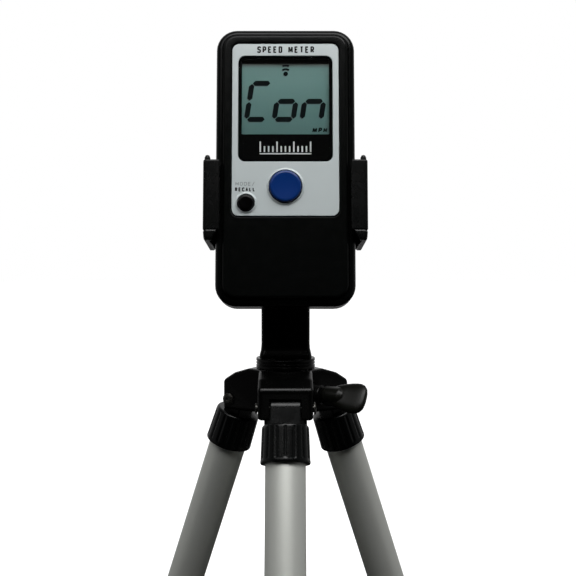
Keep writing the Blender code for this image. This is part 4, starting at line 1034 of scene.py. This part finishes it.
def make_spider():
    """Hub with three clevis arms that slope down from its middle."""
    dome = [(0, -20), (33, -20, 0.0), (33, 1.0, 0.3), (26.5, 7.6, 4.0), (20.5, 11.9, 6.0)]
    dome += [(13.5, 14.4, 2.0), (0, 14.6)]
    body = slab(hub_star(ARM_HALF - 0.6, ARM_REACH - 3), ARM_BOTTOM + 0.5, HUB_TOP + 2, "Z", 0.5)
    body = combined(body, "INTERSECT", lathe(dome, 1.0, sides=128, steps=6))
    side = [(0, HUB_TOP), (-13.5, HUB_TOP, 4.0), (-21.0, 12.6, 5.0), (-ARM_REACH, 8.9)]
    side = softened([*side, (-ARM_REACH, ARM_BOTTOM), (0, ARM_BOTTOM)], 0, 6)
    arms = []
    for turn in LEG_ANGLE.values():
        arm = loft([[(x, y, z) for y, z in side] for x in (-ARM_HALF, ARM_HALF)])
        arms.append(spun(eased(arm, 1.6, 50, 5), turn))
    boss = lathe([(0, -19.2), (4.6, -19.2, 0.7), (5.2, -7, 0.1), (0, -7)], 0.3, "Y", (0, KNOB_HEIGHT), 48)
    barrel = lathe([(0, BARREL_END), (BARREL_RADIUS, BARREL_END, 0.8), (BARREL_RADIUS, 0, 0.1), (0, 0)], 0.4)
    body = joined(body, *arms, barrel, spun(boss, KNOB_ANGLE))
    tools = [rod(COLUMN_RADIUS + GAP, -30, 30, sides=64)]
    tools.append(spun(rod(2.6, -30, 0, "Y", (0, KNOB_HEIGHT), 32), KNOB_ANGLE))
    for turn in LEG_ANGLE.values():
        half = TONGUE_HALF + GAP
        slot = block((-half, half), (-40, -15.5), (ARM_BOTTOM - 5, ROOF_UNDERSIDE))
        hole = rod(PIN_RADIUS + GAP, -16, 16, "X", (-PIVOT_RADIUS, 0), 32)
        tools += [spun(slot, turn), spun(hole, turn)]
    spider = eased(cut(body, *tools), 0.45, 45, 3)
    place("tripod_hub", spider, HUB, "moulding", "tripod_plastic", "spider")


def ribbed_sleeve(high, top, low, end, count, per, power):
    """Sleeve whose levels give how far they draw in, their distance from an end and the depth of the ribs."""
    levels = [(SOCKET_RADIUS - slope, high - drop, depth) for slope, drop, depth in top]
    levels += [(SOCKET_RADIUS - slope, low + rise, depth) for slope, rise, depth in end]
    return loft([wavy(radius, height, depth, count, per, power=power) for radius, height, depth in levels])


def make_leg(name):
    where = LEGS[name]
    tongue = arc((0, 0), KNUCKLE_RADIUS, 0, 180, 24) + [(-KNUCKLE_RADIUS, -9), (KNUCKLE_RADIUS, -9)]
    tongue = slab(tongue, -TONGUE_HALF, TONGUE_HALF, "X", 0.6)
    top = [(1.9, 0, 0), (1.35, 0.12, 0), (0.9, 0.5, 0), (0.65, 1, 0), (0.6, 1.3, 0.1), (0.5, 2, 0.42)]
    end = [(0.1, 2.6, 0.42), (0.1, 2, 0.1), (0.1, 1.8, 0), (0, 1.3, 0), (0, 0.5, 0)]
    end += [(0.2, 0.12, 0), (0.6, 0, 0)]
    socket = ribbed_sleeve(SOCKET_TOP, top, SOCKET_BOTTOM, end, 16, 12, 6.0)
    bore = [(0, SOCKET_BOTTOM - 3), (9.5, SOCKET_BOTTOM - 0.2), (9.1, SOCKET_BOTTOM + 0.3), (9.1, -10.3)]
    bore = turned([*bore, (0, -10.3)], sides=64)
    pivot = rod(PIN_RADIUS + GAP, -20, 20, "X", sides=32)
    hinge = cut(joined(tongue, socket), bore, pivot)
    place(f"{name}_hinge_block", hinge, where, "block", "tripod_plastic", f"{name}_leg_block")

    head = ARM_HALF + GAP
    pin = [(0, -head - 0.8), (2.4, -head - 0.8, 0.3), (2.4, -head, 0.05), (PIN_RADIUS, -head, 0.0)]
    pin += [(PIN_RADIUS, head, 0.0), (2.9, head, 0.05), (2.85, head + 0.6, 0.3), (1.6, head + 1.1, 0.4)]
    pin += [(0.9, head + 1.1, 0.1), (0.7, head + 0.75, 0.1), (0, head + 0.7)]
    pin = lathe(pin, 0.2, "X", sides=40)
    place(f"{name}_hinge_pin", pin, where, "dark_steel", "bright_steel", f"{name}_leg_pin")

    for part, (radius, low, high) in (("upper", UPPER_TUBE), ("lower", LOWER_TUBE)):
        tube = lathe(hollow_tube(radius, 1, low, high), 0.25, sides=72)
        place(f"{name}_{part}_leg_tube", tube, where, "tube", "aluminium_tube", f"{name}_{part}_tube")

    top = [(1.4, 0, 0), (0.95, 0.25, 0), (0.3, 1.6, 0), (0, 2.4, 0.1), (0, 3.2, 0.7)]
    end = [(0, 4.2, 0.7), (0, 3.4, 0.1), (0.2, 2.6, 0), (1.4, 0.3, 0), (2, 0, 0)]
    sleeve = ribbed_sleeve(LOCK_TOP, top, LOCK_END, end, 20, 8, 1.2)
    shoulder = UPPER_TUBE[1] - 0.5
    narrow, wide = LOWER_TUBE[0] + GAP, UPPER_TUBE[0] + GAP
    bore = [(0, LOCK_END - 3), (narrow, LOCK_END - 3), (narrow, shoulder), (wide, shoulder)]
    sleeve = cut(sleeve, turned([*bore, (wide, LOCK_TOP + 3), (0, LOCK_TOP + 3)], sides=64))
    place(f"{name}_lock_sleeve", sleeve, where, "moulding", "tripod_plastic", f"{name}_twist_lock")
    place(f"{name}_rubber_foot", rubber_foot(where), where, "rubber", "rubber", f"{name}_foot")


def rubber_foot(where):
    """Ribbed rubber cup on the lower tube, with its slanted sole on the floor."""
    floor = LOWER_TUBE[1] - GAP
    cup = LOWER_TUBE[0] + GAP
    down = where.to_3x3().col[2]
    slope = -where.to_3x3().col[1].z / down.z
    drop = where.translation.z / MM / down.z

    def level(radius, height):
        return [(x, y, height) for x, y in circle(radius, 64)]

    def slanted(radius, lift):
        return [(x, y, y * slope - drop + lift) for x, y in circle(radius, 64)]

    rings = [level(cup, floor), level(cup, FOOT_TOP - 0.2), level(cup + 0.2, FOOT_TOP), level(7.7, FOOT_TOP)]
    rings += [level(8.0, FOOT_TOP - 0.2), level(8.3, FOOT_TOP - 0.8), level(FOOT_RADIUS, FOOT_TOP - 1.7)]
    for row in range(4):
        top = -180.5 - 2.6 * row
        rings += [level(FOOT_RADIUS, top), level(FOOT_RADIUS - 0.45, top - 0.3)]
        rings += [level(FOOT_RADIUS - 0.45, top - 0.9), level(FOOT_RADIUS, top - 1.2)]
    rings += [level(FOOT_RADIUS, -191.8), slanted(FOOT_RADIUS, 0.7), slanted(FOOT_RADIUS - 0.15, 0.25)]
    rings += [slanted(FOOT_RADIUS - 0.6, 0.0)]
    return loft(rings)


# ---- stage

def make_world():
    """White tent behind and above the object, open and dark on the side of the photographer."""
    world = bpy.data.worlds.new("studio")
    bpy.context.scene.world = world
    world.use_nodes = True
    tree = world.node_tree
    split = add(tree, "SeparateXYZ", Vector=add(tree, "TexCoord").outputs["Generated"])
    x, y, z = [split.outputs[key] for key in "XYZ"]
    behind = ranged(tree, y, 0.10, 0.95, 0.0, 0.80, smooth=True)
    above = ranged(tree, z, 0.60, 1.0, 0.0, 0.35, smooth=True)
    upper = ranged(tree, z, -0.55, 0.30, 0.0, 1.0, smooth=True)
    walls = ranged(tree, maths(tree, "ABSOLUTE", x), 0.75, 1.0, 0.0, 0.20, smooth=True)
    surround = maths(tree, "MAXIMUM", maths(tree, "MULTIPLY", behind, upper), walls)
    lifted = maths(tree, "ADD", maths(tree, "MAXIMUM", surround, above), 0.004)
    seen = add(tree, "LightPath").outputs["Is Camera Ray"]
    strength = maths(tree, "MAXIMUM", lifted, seen)
    fill(tree, tree.nodes["Background"], Color=(1.0, 1.0, 1.0, 1.0), Strength=strength)


def make_floor():
    """Pale floor that fades into the white surround."""
    bm = bmesh.new()
    bmesh.ops.create_circle(bm, cap_ends=True, radius=6.0, segments=96)
    floor = holder(bm, "studio_floor")
    made, tree, shader = new_material("pale_floor")
    length = tree.nodes.new("ShaderNodeVectorMath")
    length.operation = "LENGTH"
    fill(tree, length, add(tree, "TexCoord").outputs["Object"])
    glow = ranged(tree, length.outputs["Value"], 0.12, 0.42, 0.0, 0.9, smooth=True)
    fill(tree, shader, Base_Color=(0.82, 0.82, 0.82, 1.0), Roughness=0.75, Specular_IOR_Level=0.1,
         Emission_Color=(1.0, 1.0, 1.0, 1.0), Emission_Strength=glow)
    floor.data.materials.append(made)
    floor.visible_glossy = False
    floor.visible_diffuse = False


def soft_box(name, place_at, target, size, watts):
    light = bpy.data.lights.new(name, "AREA")
    light.shape = "RECTANGLE"
    light.size, light.size_y = size
    light.energy = watts
    made = in_scene(name, light)
    made.location = place_at
    made.rotation_euler = (Vector(target) - Vector(place_at)).to_track_quat("-Z", "Y").to_euler()


def make_camera():
    """In front of the object, about as high as the lower ends of the jaws, and tipped slightly down."""
    aside, distance, height, tip = 0.0011, 0.432, 0.263, 2.8
    camera = bpy.data.cameras.new("photo_view")
    camera.lens = 58.5
    camera.sensor_width = 36.0
    camera.clip_start, camera.clip_end = 0.01, 30.0
    made = in_scene("photo_view", camera)
    made.location = (aside, pan[1] - distance, height)
    made.rotation_euler = (math.radians(90 - tip), 0.0, 0.0)
    bpy.context.scene.camera = made


# ---- everything

make_radar()
make_housing()
for jaw_name, jaw_side in (("right", 1), ("left", -1)):
    make_jaw(jaw_name, jaw_side)
make_tilt_head()
make_neck()
make_column()
make_knob()
make_spider()
for leg_name in LEGS:
    make_leg(leg_name)

make_world()
make_floor()
soft_box("key_light", (0.20, -0.50, 1.05), (0.0, 0.0, 0.25), (1.0, 0.45), 11.2)
soft_box("fill_light", (-0.45, -0.55, 0.95), (0.0, 0.0, 0.22), (0.5, 0.5), 1.7)
soft_box("front_card", (0.25, -2.90, 2.65), (0.0, 0.0, 0.15), (3.4, 0.7), 5.0)
make_camera()
bpy.context.scene.view_settings.view_transform = "Standard"
